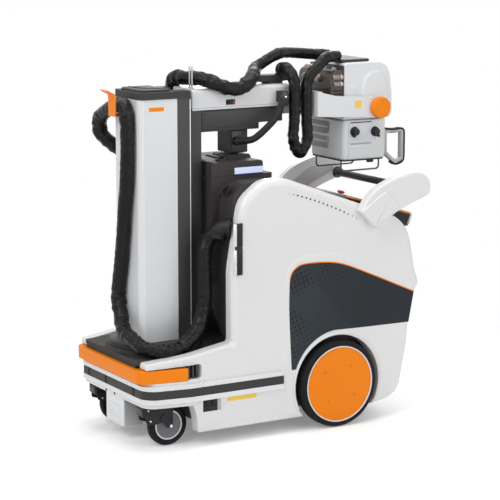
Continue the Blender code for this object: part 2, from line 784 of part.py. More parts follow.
def display():
    """The sloping console with the screen, lying over the cabinet's top."""
    rows = [(0.500, 0.745, 0), (0.262, 0.850, 0), (0.276, 0.890, 0.006), (0.583, 0.798, 0.008),
            (0.565, 0.749, 0.004)]
    console = slab(rounded(rows), "X", -CORE_HALF_W, CORE_HALF_W)
    cut(console, core(CORE_INSET - SEAT, -0.4, 0.4), box((-0.4, 0.4), (0.4, 0.8), (0.70, 0.7456)))
    finish(console, "display", "charcoal", BASE)


WING = (
    # y, z, fillet radius
    (0.2920, 0.838, 0.004),
    (0.3450, 0.916, 0.080),
    (0.4500, 0.966, 0.140),
    (0.5700, 0.976, 0.050),
    (0.6150, 0.952, 0.020),
    (0.6150, 0.893, 0.016),
    (0.5230, 0.853, 0.040),
    (0.4500, 0.825, 0.030),
    (0.3650, 0.768, 0.004),
)


def handles():
    for side, sign in SIDES:
        inner, outer = sorted((sign * (BODY_HALF_W + SEAT), sign * (BODY_HALF_W + WING_T)))
        wing = slab(rounded(WING), "X", inner, outer)
        bevel(wing, 0.006, 2)
        finish(wing, f"wing_{side}", "white", BASE)
    bar = rod(0.015, (-BODY_HALF_W, *HANDLE_YZ), (BODY_HALF_W, *HANDLE_YZ), 20)
    finish(bar, "drive_handle", "charcoal", BASE)


# Column

def column():
    """The swinging column: its foot, housing, rail, cap and cable hook."""
    y = COLUMN_Y
    front, seam, rear = y + COLUMN_FRONT, y + COLUMN_RAIL, y + COLUMN_REAR
    wide = COLUMN_HALF_W
    plinth = rod(0.168, (0, y, PLINTH_Z + GUIDE), (0, y, COLUMN_FOOT), 48)
    finish(plinth, "column_plinth", "charcoal", COLUMN)

    housing = slab(rounded([(-wide, seam, 0), (-wide, front, 0.018), (wide, front, 0.018), (wide, seam, 0)]),
                   "Z", COLUMN_FOOT + SEAT, COLUMN_TOP)
    finish(housing, "column_housing", "white", COLUMN)

    groove = y + GUIDE_FRONT - GUIDE
    slot = GUIDE_HALF_W + GUIDE
    seam += SEAT
    rail = slab(rounded([(-wide, seam, 0), (wide, seam, 0), (wide, rear, 0.006), (slot, rear, 0),
                         (slot, groove, 0), (-slot, groove, 0), (-slot, rear, 0), (-wide, rear, 0.006)]),
                "Z", COLUMN_FOOT + SEAT, COLUMN_TOP)
    finish(rail, "column_rail", "charcoal", COLUMN)

    wide += 0.004
    notch = groove - 0.005
    slot = GUIDE_HALF_W + CLEAR
    top = (COLUMN_TOP + SEAT, COLUMN_TOP + COLUMN_CAP_T)
    lead = front + 0.002
    cap = slab(rounded([(-wide, lead, 0.018), (wide, lead, 0.018), (wide, rear + 0.004, 0.008),
                        (slot, rear + 0.004, 0), (slot, notch, 0), (-slot, notch, 0), (-slot, rear + 0.004, 0),
                        (-wide, rear + 0.004, 0.008)]), "Z", *top)
    finish(cap, "column_cap", "charcoal", COLUMN)

    root = front - SEAT
    stand, top = root - HOOK_REACH, COLUMN_TOP + 0.018
    low = top - 0.0815
    hook = slab(rounded([(root, low, 0), (root, low + 0.0042, 0), (stand + 0.004, low + 0.0042, 0),
                         (stand + 0.004, top, 0.010), (stand - 0.031, top + 0.018, 0), (stand - 0.033, top + 0.014, 0),
                         (stand, top - 0.004, 0.010), (stand, low, 0)]), "X", -0.028, 0.030)
    cut(hook, box((0.012, 0.040), (stand + 0.006, root + 0.01), (low - 0.01, low + 0.01)))
    finish(hook, "cable_hook", "orange", COLUMN)


# Mast

def mast():
    """The sliding mast with the boom's outer housing on its top."""
    y = COLUMN_Y
    near, step, rear = y + GUIDE_FRONT, y + MAST_FRONT, y + MAST_REAR
    half, wide = GUIDE_HALF_W, MAST_HALF_W
    beam = slab(rounded([(-half, near, 0), (half, near, 0), (half, step, 0), (wide, step, 0), (wide, rear, 0.004),
                         (-wide, rear, 0.004), (-wide, step, 0), (-half, step, 0)]),
                "Z", MAST_FOOT, SHELL_Z - SEAT)
    finish(beam, "inner_mast", "silver", MAST)

    rear += SEAT
    slot = INNER_HALF_W + GUIDE
    carriage = slab(rounded([(rear, CARRIAGE_FOOT, 0), (rear, SHELL_Z - SEAT, 0), (CARRIAGE_END, SHELL_Z - SEAT, 0),
                             (CARRIAGE_END, CARRIAGE_Z, 0.004), (-0.0075, CARRIAGE_Z, 0), (-0.0075, CARRIAGE_FOOT, 0.004)]),
                    "X", -CARRIAGE_HALF_W, CARRIAGE_HALF_W)
    cut(carriage, box((-slot, slot), (-0.5, 0.2), (INNER_Z[0] - GUIDE, SHELL_Z + 0.05)))
    finish(carriage, "boom_carriage", "charcoal", MAST)

    shell = slab(rounded([(-SHELL_HALF_W, SHELL_Z, 0), (SHELL_HALF_W, SHELL_Z, 0), (SHELL_HALF_W, SHELL_TOP, 0.012),
                          (-SHELL_HALF_W, SHELL_TOP, 0.012)]), "Y", BOOM_FRONT, BOOM_END)
    cut(shell, box((-slot, slot), (rear + 0.0017, 0.3), (1.0, INNER_Z[1] + GUIDE)))
    finish(shell, "boom_shell", "white", MAST)

    shoe = box((-0.050, 0.050), DOCK_Y, (DOCK_Z + CLEAR, CARRIAGE_FOOT - SEAT), 0.004, 2)
    finish(shoe, "dock_shoe", "charcoal", MAST)

    low, high = CARRIAGE_FOOT - 0.043, SHELL_Z + 0.030
    path = [(0.0503 + 0.012, -0.1035, low), (0.112, -0.060, low + 0.010), (0.118, -0.010, low + 0.045),
            (0.117, 0.040, high - 0.067), (0.108, 0.068, high - 0.022), (0.098, 0.080, high)]
    grip = tube([Vector(place) for place in path], 0.012, 3)
    grip = to_mesh(grip)
    join(grip, rod(0.014, (0.0503, -0.1035, low), (0.0750, -0.1035, low), 16),
         box((SHELL_HALF_W + SEAT, 0.112), (0.064, 0.097), (SHELL_Z + 0.016, SHELL_Z + 0.058)))
    finish(grip, "grip_bar", "charcoal", MAST)

    clip = box((-0.030, 0.030), (0.060, 0.123), (SHELL_TOP + SEAT, SHELL_TOP + 0.017))
    join(clip, box((-0.030, 0.030), (0.019, 0.148), (SHELL_TOP + 0.007, SHELL_TOP + 0.033)))
    finish(clip, "cable_clip", "charcoal", MAST)


# Boom, yoke and tube head

def boom():
    inner = box((-INNER_HALF_W, INNER_HALF_W), (-0.2590, BOOM_END + SEAT), INNER_Z)
    finish(inner, "boom_inner", "silver", BOOM)
    collar = rod(COLLAR_R, (0, BOOM_END + 0.0006, BOOM_Z), (0, COLLAR_END - GUIDE, BOOM_Z), 40)
    finish(collar, "boom_collar", "steel", BOOM)


ARM = (
    # y, z, fillet radius
    (COLLAR_END, BOOM_Z - 0.048, 0.006),
    (COLLAR_END, BOOM_Z + 0.048, 0.010),
    (0.3000, BOOM_Z + 0.027, 0.100),
    (TILT_Y, TILT_Z + 0.040, 0),
    (TILT_Y + 0.0283, TILT_Z + 0.0283, 0),
    (TILT_Y + 0.040, TILT_Z, 0),
    (TILT_Y + 0.0283, TILT_Z - 0.0283, 0),
    (TILT_Y, TILT_Z - 0.040, 0),
)


def yoke():
    """The fork that rolls on the boom's end and carries the head between its arms."""
    inner, outer = FORK_ARM_X
    fork = box((-outer, outer), (COLLAR_END, FORK_END), (BOOM_Z - 0.048, BOOM_Z + 0.048))
    for side, sign in SIDES:
        x = sorted((sign * inner, sign * outer))
        join(fork, slab(rounded(ARM), "X", *x))
    cut(fork, rod(0.0103, (-0.2, TILT_Y, TILT_Z), (0.2, TILT_Y, TILT_Z), 24))
    finish(fork, "yoke_fork", "white", YOKE)
    shaft = rod(0.010, (-0.160, TILT_Y, TILT_Z), (0.160, TILT_Y, TILT_Z), 24)
    for side, sign in SIDES:
        join(shaft, rod(TILT_BOSS_R, (sign * (outer + SEAT), TILT_Y, TILT_Z), (sign * 0.170, TILT_Y, TILT_Z), 32))
    finish(shaft, "tilt_shaft", "orange", YOKE)


def head():
    """The tube housing with its dark front block."""
    near, far = HEAD_Y
    rows = [(near, HEAD_Z, 0.004), (near, HEAD_TOP, 0.012), (far, HEAD_TOP, 0.080), (far, HEAD_Z, 0.020)]
    housing = slab(rounded(rows, 6), "X", -HEAD_HALF_W, HEAD_HALF_W)
    bevel(housing, 0.006, 2)
    cut(housing, rod(0.010 + GUIDE, (-0.2, TILT_Y, TILT_Z), (0.2, TILT_Y, TILT_Z), 24))
    finish(housing, "tube_housing", "white", HEAD)
    low, high = HEAD_Z + 0.0315, HEAD_TOP - 0.026
    rows = [(near - 0.055, low, 0.010), (near - 0.055, high, 0.030), (near - SEAT, high, 0), (near - SEAT, low, 0)]
    finish(slab(rounded(rows), "X", 0.0035 - HEAD_HALF_W, HEAD_HALF_W - 0.0035), "tube_end", "black", HEAD)


def collimator():
    """The beam collimator with its two loop handles and the spacer frame below."""
    near, far = BEAM_Y - 0.100, BEAM_Y + 0.100
    high, low = COLLIMATOR_TOP, COLLIMATOR_Z
    rows = [(near, low, 0.012), (near, high, 0.004), (far, high, 0.004), (far, low, 0.012)]
    body = slab(rounded(rows, 2), "X", -0.122, 0.122)
    finish(body, "collimator_box", "white", COLLIMATOR)
    root = far + SEAT
    rim = [(root, high - 0.048, 0), (root + 0.0500, high - 0.050, 0.010), (root + 0.0922, high - 0.043, 0.014),
           (root + 0.0922, low - 0.016, 0.014),
           (root + 0.0522, low - 0.031, 0.012), (root, low + 0.014, 0)]
    gap = [(root + 0.0122, high - 0.063, 0.004), (root + 0.0500, high - 0.064, 0), (root + 0.0792, high - 0.059, 0.006),
          
           (root + 0.0792, low - 0.007, 0.006), (root + 0.0552, low - 0.016, 0.006), (root + 0.0122, low + 0.021, 0.004)]
    for side, sign in SIDES:
        x = sorted((sign * 0.092, sign * 0.112))
        loop = slab(rounded(rim), "X", *x)
        cut(loop, slab(rounded(gap), "X", sign * 0.102 - 0.03, sign * 0.102 + 0.03))
        finish(loop, f"collimator_handle_{side}", "silver", COLLIMATOR)
    guard = box((-0.118, 0.118), (near + 0.004, far - 0.004), (low - 0.006, low - SEAT))
    for side, sign in SIDES:
        x = sign * 0.090
        front, rear = near + 0.0115, far - 0.0115
        path = [(x, front, low - 0.003), (x, front, low - 0.031), (x, front + 0.006, low - 0.043),
                (x, front + 0.018, low - 0.046), (x, rear - 0.018, low - 0.046), (x, rear - 0.006, low - 0.043),
                (x, rear, low - 0.031), (x, rear, low - 0.003)]
        join(guard, to_mesh(tube([Vector(place) for place in path], 0.003, 1)))
    finish(guard, "spacer_guard", "black", COLLIMATOR)


# Wheels

def casters():
    for side, sign in SIDES:
        x = sign * CASTER_X
        pivot = CASTER_PIVOT_Y
        crown = box((x - 0.0255, x + 0.0255), (pivot - 0.028, CASTER_Y + 0.016), (0.1635, 0.1715))
        legs = [(pivot - 0.022, 0.166, 0), (CASTER_Y + 0.014, 0.166, 0), (CASTER_Y + 0.012, CASTER_R - 0.008, 0.008),
                (CASTER_Y - 0.012, CASTER_R - 0.008, 0.008)]
        for lean in (-1, 1):
            inner, outer = sorted((x + lean * 0.0215, x + lean * 0.0255))
            join(crown, slab(rounded(legs), "X", inner, outer))
        join(crown, rod(CASTER_PIN_R, (x, pivot, 0.168), (x, pivot, 0.186), 20))
        join(crown, rod(0.006, (x - 0.0235, CASTER_Y, CASTER_R), (x + 0.0235, CASTER_Y, CASTER_R), 16))
        finish(crown, f"caster_fork_{side}", "silver", CASTERS[side])
        half = CASTER_W / 2
        rows = [(0.006 + GUIDE, half), (CASTER_RIM_R, half), (CASTER_R - 0.005, half), (CASTER_R, half - 0.006),
                (CASTER_R, 0.006 - half), (CASTER_R - 0.005, -half), (0.006 + GUIDE, -half),
                (0.006 + GUIDE, half)]
        wheel = turned(rows, (x, CASTER_Y, CASTER_R), (1, 0, 0), 36)
        finish(wheel, f"caster_wheel_{side}", "black", CASTER_WHEELS[side])


def wheels():
    """Drive wheels: a tyre round a disc that turns on the stub axle."""
    for side, sign in SIDES:
        face = WHEEL_FACE_X
        inner = face - WHEEL_W
        middle = (face + inner) / 2
        half = WHEEL_W / 2
        rows = [(HUB_R + SEAT, half), (WHEEL_R - 0.010, half), (WHEEL_R - 0.003, half - 0.004), (WHEEL_R, half - 0.012),
                (WHEEL_R, 0.012 - half), (WHEEL_R - 0.003, 0.004 - half), (WHEEL_R - 0.010, -half),
                (HUB_R + SEAT, -half), (HUB_R + SEAT, half)]
        tyre = turned(rows, (sign * middle, WHEEL_Y, WHEEL_R), (sign, 0, 0), 52)
        finish(tyre, f"drive_tyre_{side}", "black", WHEELS[side])
        bore = STUB_R + GUIDE
        stub_end = face - 0.012 - middle + GUIDE
        rows = [(0, half - 0.003), (HUB_R - 0.012, half - 0.003), (HUB_R - 0.008, half - 0.001), (HUB_R, half - 0.001),
                (HUB_R, -half + 0.004), (bore, -half + 0.004), (bore, stub_end), (0, stub_end)]
        disc = turned(rows, (sign * middle, WHEEL_Y, WHEEL_R), (sign, 0, 0), 52)
        dimples = [(0.084 * cos(radians(a)), 0.084 * sin(radians(a))) for a in (45, 135, 225, 315)]
        for y, z in dimples:
            start = (sign * (face - 0.006), WHEEL_Y + y, WHEEL_R + z)
            cut(disc, rod(0.016, start, (sign * (face + 0.02), WHEEL_Y + y, WHEEL_R + z), 16))
        finish(disc, f"drive_hub_{side}", "orange", WHEELS[side])


# Cable sleeves, each from one body to the next

SLEEVE_R = 0.026
SLEEVE_STUB = 0.014      # straight length at each end of a sleeve's piece
SLEEVES = (
    # for each sleeve: its pieces' names and bodies, and the points each piece passes
    (("sleeve_base_column", BASE, (
        (0.1922, -0.2565, 0.7791), (0.1806, -0.2854, 0.7735), (0.1770, -0.3080, 0.7260), (0.1860, -0.3150, 0.6300),
        (0.1890, -0.3180, 0.5320), (0.1950, -0.3500, 0.4310), (0.2140, -0.4200, 0.3780), (0.2230, -0.5050, 0.3655),
        (0.1850, -0.5660, 0.3740), (0.1150, -0.5900, 0.4020), (0.0500, -0.5880, 0.4240), (0.0050, -0.5740, 0.4650),
        (-0.0280, -0.5690, 0.5390), (0.0040, -0.5690, 0.6910), (0.0290, -0.5690, 0.8420), (0.0530, -0.5690, 0.9880),
        (0.0620, -0.5690, 1.1200), (0.0580, -0.5690, 1.2150))),
      ("sleeve_column_mast", COLUMN, (
        (0.0580, -0.5690, 1.2150), (0.0420, -0.5690, 1.2540), (0.0020, -0.5700, 1.2660), (-0.0500, -0.5710, 1.2520),
        (-0.1050, -0.5720, 1.2300), (-0.1500, -0.5720, 1.2050), (-0.1740, -0.5660, 1.1650), (-0.1700, -0.5520, 1.1280),
        (-0.1500, -0.5220, 1.0950), (-0.1345, -0.4820, 1.0600), (-0.1340, -0.4550, 1.0000), (-0.1340, -0.4300, 0.9600),
        (-0.1335, -0.3900, 0.9600), (-0.1335, -0.3800, 1.0500), (-0.1340, -0.3560, 1.1200), (-0.1335, -0.3140, 1.1900),
        (-0.1220, -0.2910, 1.2600), (-0.1050, -0.2900, 1.3200),
        (-0.0600, -0.2970, 1.3560), (0.0, -0.2860, 1.3640), (0.0520, -0.2600, 1.3580), (0.0960, -0.2200, 1.3400),
        (0.1080, -0.1750, 1.3160), (0.1090, -0.1200, 1.3120), (0.1030, -0.0760, 1.3300), (0.0680, -0.0350, 1.3520),
        (0.0250, -0.0020, 1.3680), (0.0, 0.0250, 1.3800))),
      ("sleeve_mast_boom", MAST, (
        (0.0, 0.0250, 1.3800), (0.0, 0.0650, 1.4020), (0.0, 0.1050, 1.4190))),
      ("sleeve_boom_yoke", BOOM, (
        (0.0, 0.1050, 1.4190), (0.0, 0.1450, 1.4280), (0.0, 0.2000, 1.4240), (0.0, 0.2850, 1.4150))),
      ("sleeve_yoke_head", YOKE, (
        (0.0, 0.2850, 1.4150), (0.0, 0.3150, 1.4140), (0.0, 0.3500, 1.4128)))),
    (("loop_mast_boom", MAST, (
        (0.0303, 0.1100, 1.3740), (0.0700, 0.1180, 1.3700), (0.1010, 0.1270, 1.3300), (0.1060, 0.1275, 1.2700),
        (0.1060, 0.1275, 1.1800), (0.1060, 0.1240, 1.0950), (0.1060, 0.1540, 1.0480))),
      ("loop_boom_yoke", BOOM, (
        (0.1060, 0.1540, 1.0480), (0.1070, 0.1840, 1.0950), (0.1080, 0.1810, 1.1800), (0.1080, 0.1808, 1.2400),
        (0.1080, 0.1790, 1.2880), (0.1062, 0.1930, 1.3400), (0.1000, 0.2350, 1.3750))),
      ("loop_yoke_head", YOKE, (
        (0.1000, 0.2350, 1.3750), (0.0850, 0.2850, 1.4060), (0.0700, 0.3500, 1.4128)))),
)


def sleeves():
    """Each sleeve runs from body to body in pieces that meet face to face."""
    for pieces in SLEEVES:
        for index, (name, body, places) in enumerate(pieces):
            points = [Vector(place) for place in places]
            path = smooth_path(points, 0.066)
            first = points[1] - points[0]
            last = points[-1] - points[-2]
            if index:
                first = points[1] - Vector(pieces[index - 1][2][-2])
            if index + 1 < len(pieces):
                last = Vector(pieces[index + 1][2][1]) - points[-2]
            first.normalize()
            last.normalize()
            path = ([points[0] + SEAT * first, points[0] + SLEEVE_STUB * first] + path[1:-1]
                    + [points[-1] - SLEEVE_STUB * last, points[-1] - SEAT * last])
            finish(to_mesh(tube(path, SLEEVE_R, 2)), name, "fabric", body)


for make in (side_panels, chassis, base_shell, deck_mat, bumper, rub_rail, sensor_box, cabinet, front_cover,
             rear_panel, top_cap, hose_port, slot_trim, display, handles, column, mast, boom, yoke, head,
             collimator, casters, wheels, sleeves):
    make()
bpy.context.view_layer.update()
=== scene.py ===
import math

import bmesh
import bpy
import numpy as np
from mathutils import Matrix, Vector, noise


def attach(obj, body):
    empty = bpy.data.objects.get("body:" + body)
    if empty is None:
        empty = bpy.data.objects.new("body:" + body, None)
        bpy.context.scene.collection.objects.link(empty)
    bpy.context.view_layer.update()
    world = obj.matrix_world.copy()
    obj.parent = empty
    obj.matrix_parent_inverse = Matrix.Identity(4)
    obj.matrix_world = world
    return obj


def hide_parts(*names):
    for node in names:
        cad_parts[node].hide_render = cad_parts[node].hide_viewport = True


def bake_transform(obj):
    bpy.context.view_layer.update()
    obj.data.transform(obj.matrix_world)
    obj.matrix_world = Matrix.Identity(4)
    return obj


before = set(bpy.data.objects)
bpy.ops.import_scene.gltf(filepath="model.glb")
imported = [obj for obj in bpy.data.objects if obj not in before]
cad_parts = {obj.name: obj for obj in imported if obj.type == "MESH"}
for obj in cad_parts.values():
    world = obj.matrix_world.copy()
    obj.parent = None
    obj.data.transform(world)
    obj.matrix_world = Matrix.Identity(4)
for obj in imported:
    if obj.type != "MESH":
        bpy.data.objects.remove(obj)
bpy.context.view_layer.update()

SCENE = bpy.context.scene
SIDES = (("left", -1), ("right", 1))
COLUMN_Y = -0.436        # the column's axis
BOOM_Z = 1.235           # the boom's axis
TILT_Y, TILT_Z = 0.4925, 1.21
BEAM_Y = 0.4425          # the collimator's axis
LID_SLOPE, LID_MIDDLE = -20.05, (0, 0.115, 0.9262)
DOOR_MIDDLE, INLET_MIDDLE = (0, 0.56, 0.64), (0, 0.51, 0.185)


# Camera, lamps, floor

def camera():
    """The photograph's viewpoint: in front of the right corner, a little above the deck."""
    azimuth, elevation = math.radians(59.4), math.radians(10.25)
    back = Vector((math.sin(azimuth) * math.cos(elevation), -math.cos(azimuth) * math.cos(elevation),
                   math.sin(elevation)))
    data = bpy.data.cameras.new("view")
    data.sensor_width = 36
    data.lens = 1950 / 500 * 36
    data.clip_end = 60
    view = bpy.data.objects.new("view", data)
    view.location = Vector((0, -0.0075, 0.665)) + 7.6 * back
    view.rotation_euler = back.to_track_quat("Z", "Y").to_euler()
    SCENE.collection.objects.link(view)
    SCENE.camera = view


camera()


# Making pieces

def finish(bm, name, material, body, smooth=35):
    """A mesh from the shape, smooth but for edges sharper than an angle, riding on a body."""
    bmesh.ops.recalc_face_normals(bm, faces=bm.faces)
    mesh = bpy.data.meshes.new(name)
    bm.to_mesh(mesh)
    bm.free()
    piece = bpy.data.objects.new(name, mesh)
    SCENE.collection.objects.link(piece)
    mesh.shade_smooth()
    mesh.set_sharp_from_angle(angle=math.radians(smooth))
    mesh.materials.append(material)
    if body:
        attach(piece, body)
    return piece


def ease(bm, width, segments=2, angle=30):
    """Rounds each edge sharper than an angle."""
    edges = [e for e in bm.edges if len(e.link_faces) == 2 and e.calc_face_angle() > math.radians(angle)]
    bmesh.ops.bevel(bm, geom=edges, offset=width, offset_type="OFFSET", segments=segments, profile=0.5,
                    affect="EDGES", clamp_overlap=True, material=-1)
    return bm


def block(x, y, z, round_by=0.0, segments=2):
    bm = bmesh.new()
    size = Matrix.Diagonal((abs(x[1] - x[0]), abs(y[1] - y[0]), abs(z[1] - z[0]), 1))
    centre = Matrix.Translation(((x[0] + x[1]) / 2, (y[0] + y[1]) / 2, (z[0] + z[1]) / 2))
    bmesh.ops.create_cube(bm, size=1, matrix=centre @ size)
    return ease(bm, round_by, segments) if round_by else bm


def add(bm, other):
    """Joins another shape into this one."""
    mesh = bpy.data.meshes.new("joined")
    other.to_mesh(mesh)
    other.free()
    bm.from_mesh(mesh)
    bpy.data.meshes.remove(mesh)
    return bm


def across(axis):
    """Turns a shape made round +Z so that it lies round another axis."""
    return Vector(axis).to_track_quat("Z", "Y").to_matrix().to_4x4()


def rod(radius, start, end, sides=24, round_by=0.0, tip=None):
    start, end = Vector(start), Vector(end)
    bm = bmesh.new()
    bmesh.ops.create_cone(bm, cap_ends=True, segments=sides, radius1=radius,
                          radius2=radius if tip is None else tip, depth=(end - start).length,
                          matrix=Matrix.Translation((start + end) / 2) @ across(end - start))
    return ease(bm, round_by, 3, 50) if round_by else bm


def turned(profile, centre, axis, steps=48):
    """Spins rows of (radius, height) round an axis through a point."""
    bm = bmesh.new()
    rows = [bm.verts.new((radius, 0, height)) for radius, height in profile]
    edges = [bm.edges.new(pair) for pair in zip(rows, rows[1:])]
    bmesh.ops.spin(bm, geom=rows + edges, cent=(0, 0, 0), axis=(0, 0, 1), angle=math.tau, steps=steps,
                   use_merge=True, use_duplicate=False)
    bmesh.ops.remove_doubles(bm, verts=bm.verts, dist=1e-5)
    bmesh.ops.transform(bm, matrix=Matrix.Translation(centre) @ across(axis), verts=bm.verts)
    return bm


def rounded(rows, steps=6):
    """Corner points (a, b, radius) as an outline with rounded corners."""
    out = []
    for index, (a, b, radius) in enumerate(rows):
        here = Vector((a, b))
        before = Vector(rows[index - 1][:2]) - here
        after = Vector(rows[(index + 1) % len(rows)][:2]) - here
        if radius <= 0:
            out.append(here)
            continue
        angle = before.angle(after)
        reach = min(radius / math.tan(angle / 2), 0.49 * before.length, 0.49 * after.length)
        first, last = here + before.normalized() * reach, here + after.normalized() * reach
        for step in range(steps + 1):
            t = step / steps
            out.append((1 - t) ** 2 * first + 2 * t * (1 - t) * here + t * t * last)
    return out


def oblong(a, b, radius):
    """Corner points of a rectangle between two values each way; one radius or four."""
    radii = radius if isinstance(radius, tuple) else 4 * (radius,)
    return [(*corner, r) for corner, r in zip(((a[0], b[0]), (a[1], b[0]), (a[1], b[1]), (a[0], b[1])),
                                              radii)]


def span(side, near, far):
    """Two distances from the middle as x values on one side, the lower first."""
    return sorted((side * near, side * far))


def plate(outline, plane, low, high, round_by=0.0, segments=2):
    """An outline in the plane across X, Y or Z, given thickness between two heights."""
    bm = bmesh.new()
    spot = {"X": lambda a, b, h: (h, a, b), "Y": lambda a, b, h: (a, h, b), "Z": lambda a, b, h: (a, b, h)}
    face = bm.faces.new([bm.verts.new(spot[plane](p[0], p[1], low)) for p in outline])
    grown = bmesh.ops.extrude_face_region(bm, geom=[face])["geom"]
    shift = Vector(spot[plane](0, 0, high - low))
    bmesh.ops.translate(bm, vec=shift, verts=[g for g in grown if isinstance(g, bmesh.types.BMVert)])
    bmesh.ops.recalc_face_normals(bm, faces=bm.faces)
    return ease(bm, round_by, segments, 40) if round_by else bm


def weighted(piece):
    """Shades the large faces flat and the small radii between them smooth."""
    normals = piece.modifiers.new("normals", "WEIGHTED_NORMAL")
    normals.keep_sharp = True
    normals.weight = 80


def smooth_line(points, spacing):
    """Points at an even spacing on a smooth curve through the given ones."""
    points = [Vector(p) for p in points]
    ends = [2 * points[0] - points[1]] + points + [2 * points[-1] - points[-2]]
    dense = []
    for a, b, c, d in zip(ends, ends[1:], ends[2:], ends[3:]):
        steps = max(4, int((c - b).length / 0.002))
        for step in range(steps):
            t = step / steps
            dense.append(0.5 * (2 * b + (c - a) * t + (2 * a - 5 * b + 4 * c - d) * t * t
                                + (3 * b - a - 3 * c + d) * t ** 3))
    dense.append(points[-1])
    total = sum((b - a).length for a, b in zip(dense, dense[1:]))
    count = max(2, round(total / spacing))
    out, walked, goal = [dense[0]], 0.0, total / count
    for a, b in zip(dense, dense[1:]):
        step = (b - a).length
        while walked + step >= goal * len(out) - 1e-9 and len(out) < count:
            out.append(a.lerp(b, (goal * len(out) - walked) / max(step, 1e-9)))
        walked += step
    return out + [dense[-1]]


def frames(line):
    """At each point of a line, its direction and a side vector that doesn't twist."""
    out = []
    side = None
    for index, point in enumerate(line):
        ahead = (line[min(index + 1, len(line) - 1)] - line[max(index - 1, 0)]).normalized()
        if side is None:
            side = ahead.orthogonal().normalized()
        side = (side - ahead * side.dot(ahead)).normalized()
        out.append((point, ahead, side))
    return out


def sweep(rows, sides, radius):
    """A closed tube along frames; radius is a length or a function of (row, angle)."""
    bm = bmesh.new()
    ring = bmesh.ops.create_circle(bm, cap_ends=False, segments=sides, radius=1)["verts"]
    angles = [math.tau * k / sides for k in range(sides)]
    width = radius if callable(radius) else (lambda row, angle: radius)

    def seat(verts, row):
        point, ahead, side = rows[row]
        up = ahead.cross(side)
        for vert, angle in zip(verts, angles):
            vert.co = point + (math.cos(angle) * side + math.sin(angle) * up) * width(row, angle)

    ring.sort(key=lambda v: math.atan2(v.co.y, v.co.x) % math.tau)
    seat(ring, 0)
    bm.faces.new(ring)
    for row in range(1, len(rows)):
        fresh = [bm.verts.new() for _ in ring]
        seat(fresh, row)
        for k in range(sides):
            bm.faces.new((ring[k], ring[(k + 1) % sides], fresh[(k + 1) % sides], fresh[k]))
        ring = fresh
    bm.faces.new(ring)
    return bm


def pipe(points, radius, sides=14, spacing=0.006):
    return sweep(frames(smooth_line(points, spacing)), sides, radius)


# Materials

def new_group(name, inputs, outputs):
    """A shader node group with float or colour sockets; a colour socket has a 4-value default."""
    group = bpy.data.node_groups.new(name, "ShaderNodeTree")
    for label, value in inputs:
        kind = "NodeSocketColor" if isinstance(value, tuple) else "NodeSocketFloat"
        socket = group.interface.new_socket(name=label, in_out="INPUT", socket_type=kind)
        socket.default_value = value
    for label, kind in outputs:
        group.interface.new_socket(name=label, in_out="OUTPUT", socket_type=kind)
    return group, group.nodes.new("NodeGroupInput"), group.nodes.new("NodeGroupOutput")


def node(tree, kind, values=None, **settings):
    made = tree.nodes.new("ShaderNode" + kind)
    for key, value in settings.items():
        setattr(made, key, value)
    for key, value in (values or {}).items():
        made.inputs[key].default_value = value
    return made


def mottle_group():
    """Slow change of tone and gloss over a surface."""
    grey = (0.5, 0.5, 0.5, 1)
    group, enter, leave = new_group("mottle", [("Colour", grey), ("Second", grey), ("Scale", 6.0),
                                               ("Roughness", 0.5), ("Spread", 0.05)],
                                    [("Colour", "NodeSocketColor"), ("Roughness", "NodeSocketFloat")])
    place = node(group, "TexCoord")
    cloud = node(group, "TexNoise", {"Detail": 5.0, "Roughness": 0.6})
    fine = node(group, "TexNoise", {"Detail": 3.0, "Scale": 90.0})
    mix = node(group, "Mix", data_type="RGBA")
    swing = node(group, "MapRange", {"From Min": 0.4, "From Max": 1.0})
    blend = node(group, "Math", operation="ADD")
    half = node(group, "Math", {1: 0.35}, operation="MULTIPLY")
    low = node(group, "Math", operation="SUBTRACT")
    high = node(group, "Math", operation="ADD")
    link = group.links.new
    link(place.outputs["Object"], cloud.inputs["Vector"])
    link(place.outputs["Object"], fine.inputs["Vector"])
    link(enter.outputs["Scale"], cloud.inputs["Scale"])
    link(fine.outputs["Fac"], half.inputs[0])
    link(cloud.outputs["Fac"], blend.inputs[0])
    link(half.outputs[0], blend.inputs[1])
    link(blend.outputs[0], swing.inputs["Value"])
    link(swing.outputs["Result"], mix.inputs["Factor"])
    link(enter.outputs["Colour"], mix.inputs["A"])
    link(enter.outputs["Second"], mix.inputs["B"])
    link(mix.outputs["Result"], leave.inputs["Colour"])
    link(enter.outputs["Roughness"], low.inputs[0])
    link(enter.outputs["Spread"], low.inputs[1])
    link(enter.outputs["Roughness"], high.inputs[0])
    link(enter.outputs["Spread"], high.inputs[1])
    gloss = node(group, "MapRange", {"From Min": 0.3, "From Max": 0.7})
    link(cloud.outputs["Fac"], gloss.inputs["Value"])
    link(low.outputs[0], gloss.inputs["To Min"])
    link(high.outputs[0], gloss.inputs["To Max"])
    link(gloss.outputs["Result"], leave.inputs["Roughness"])
    return group


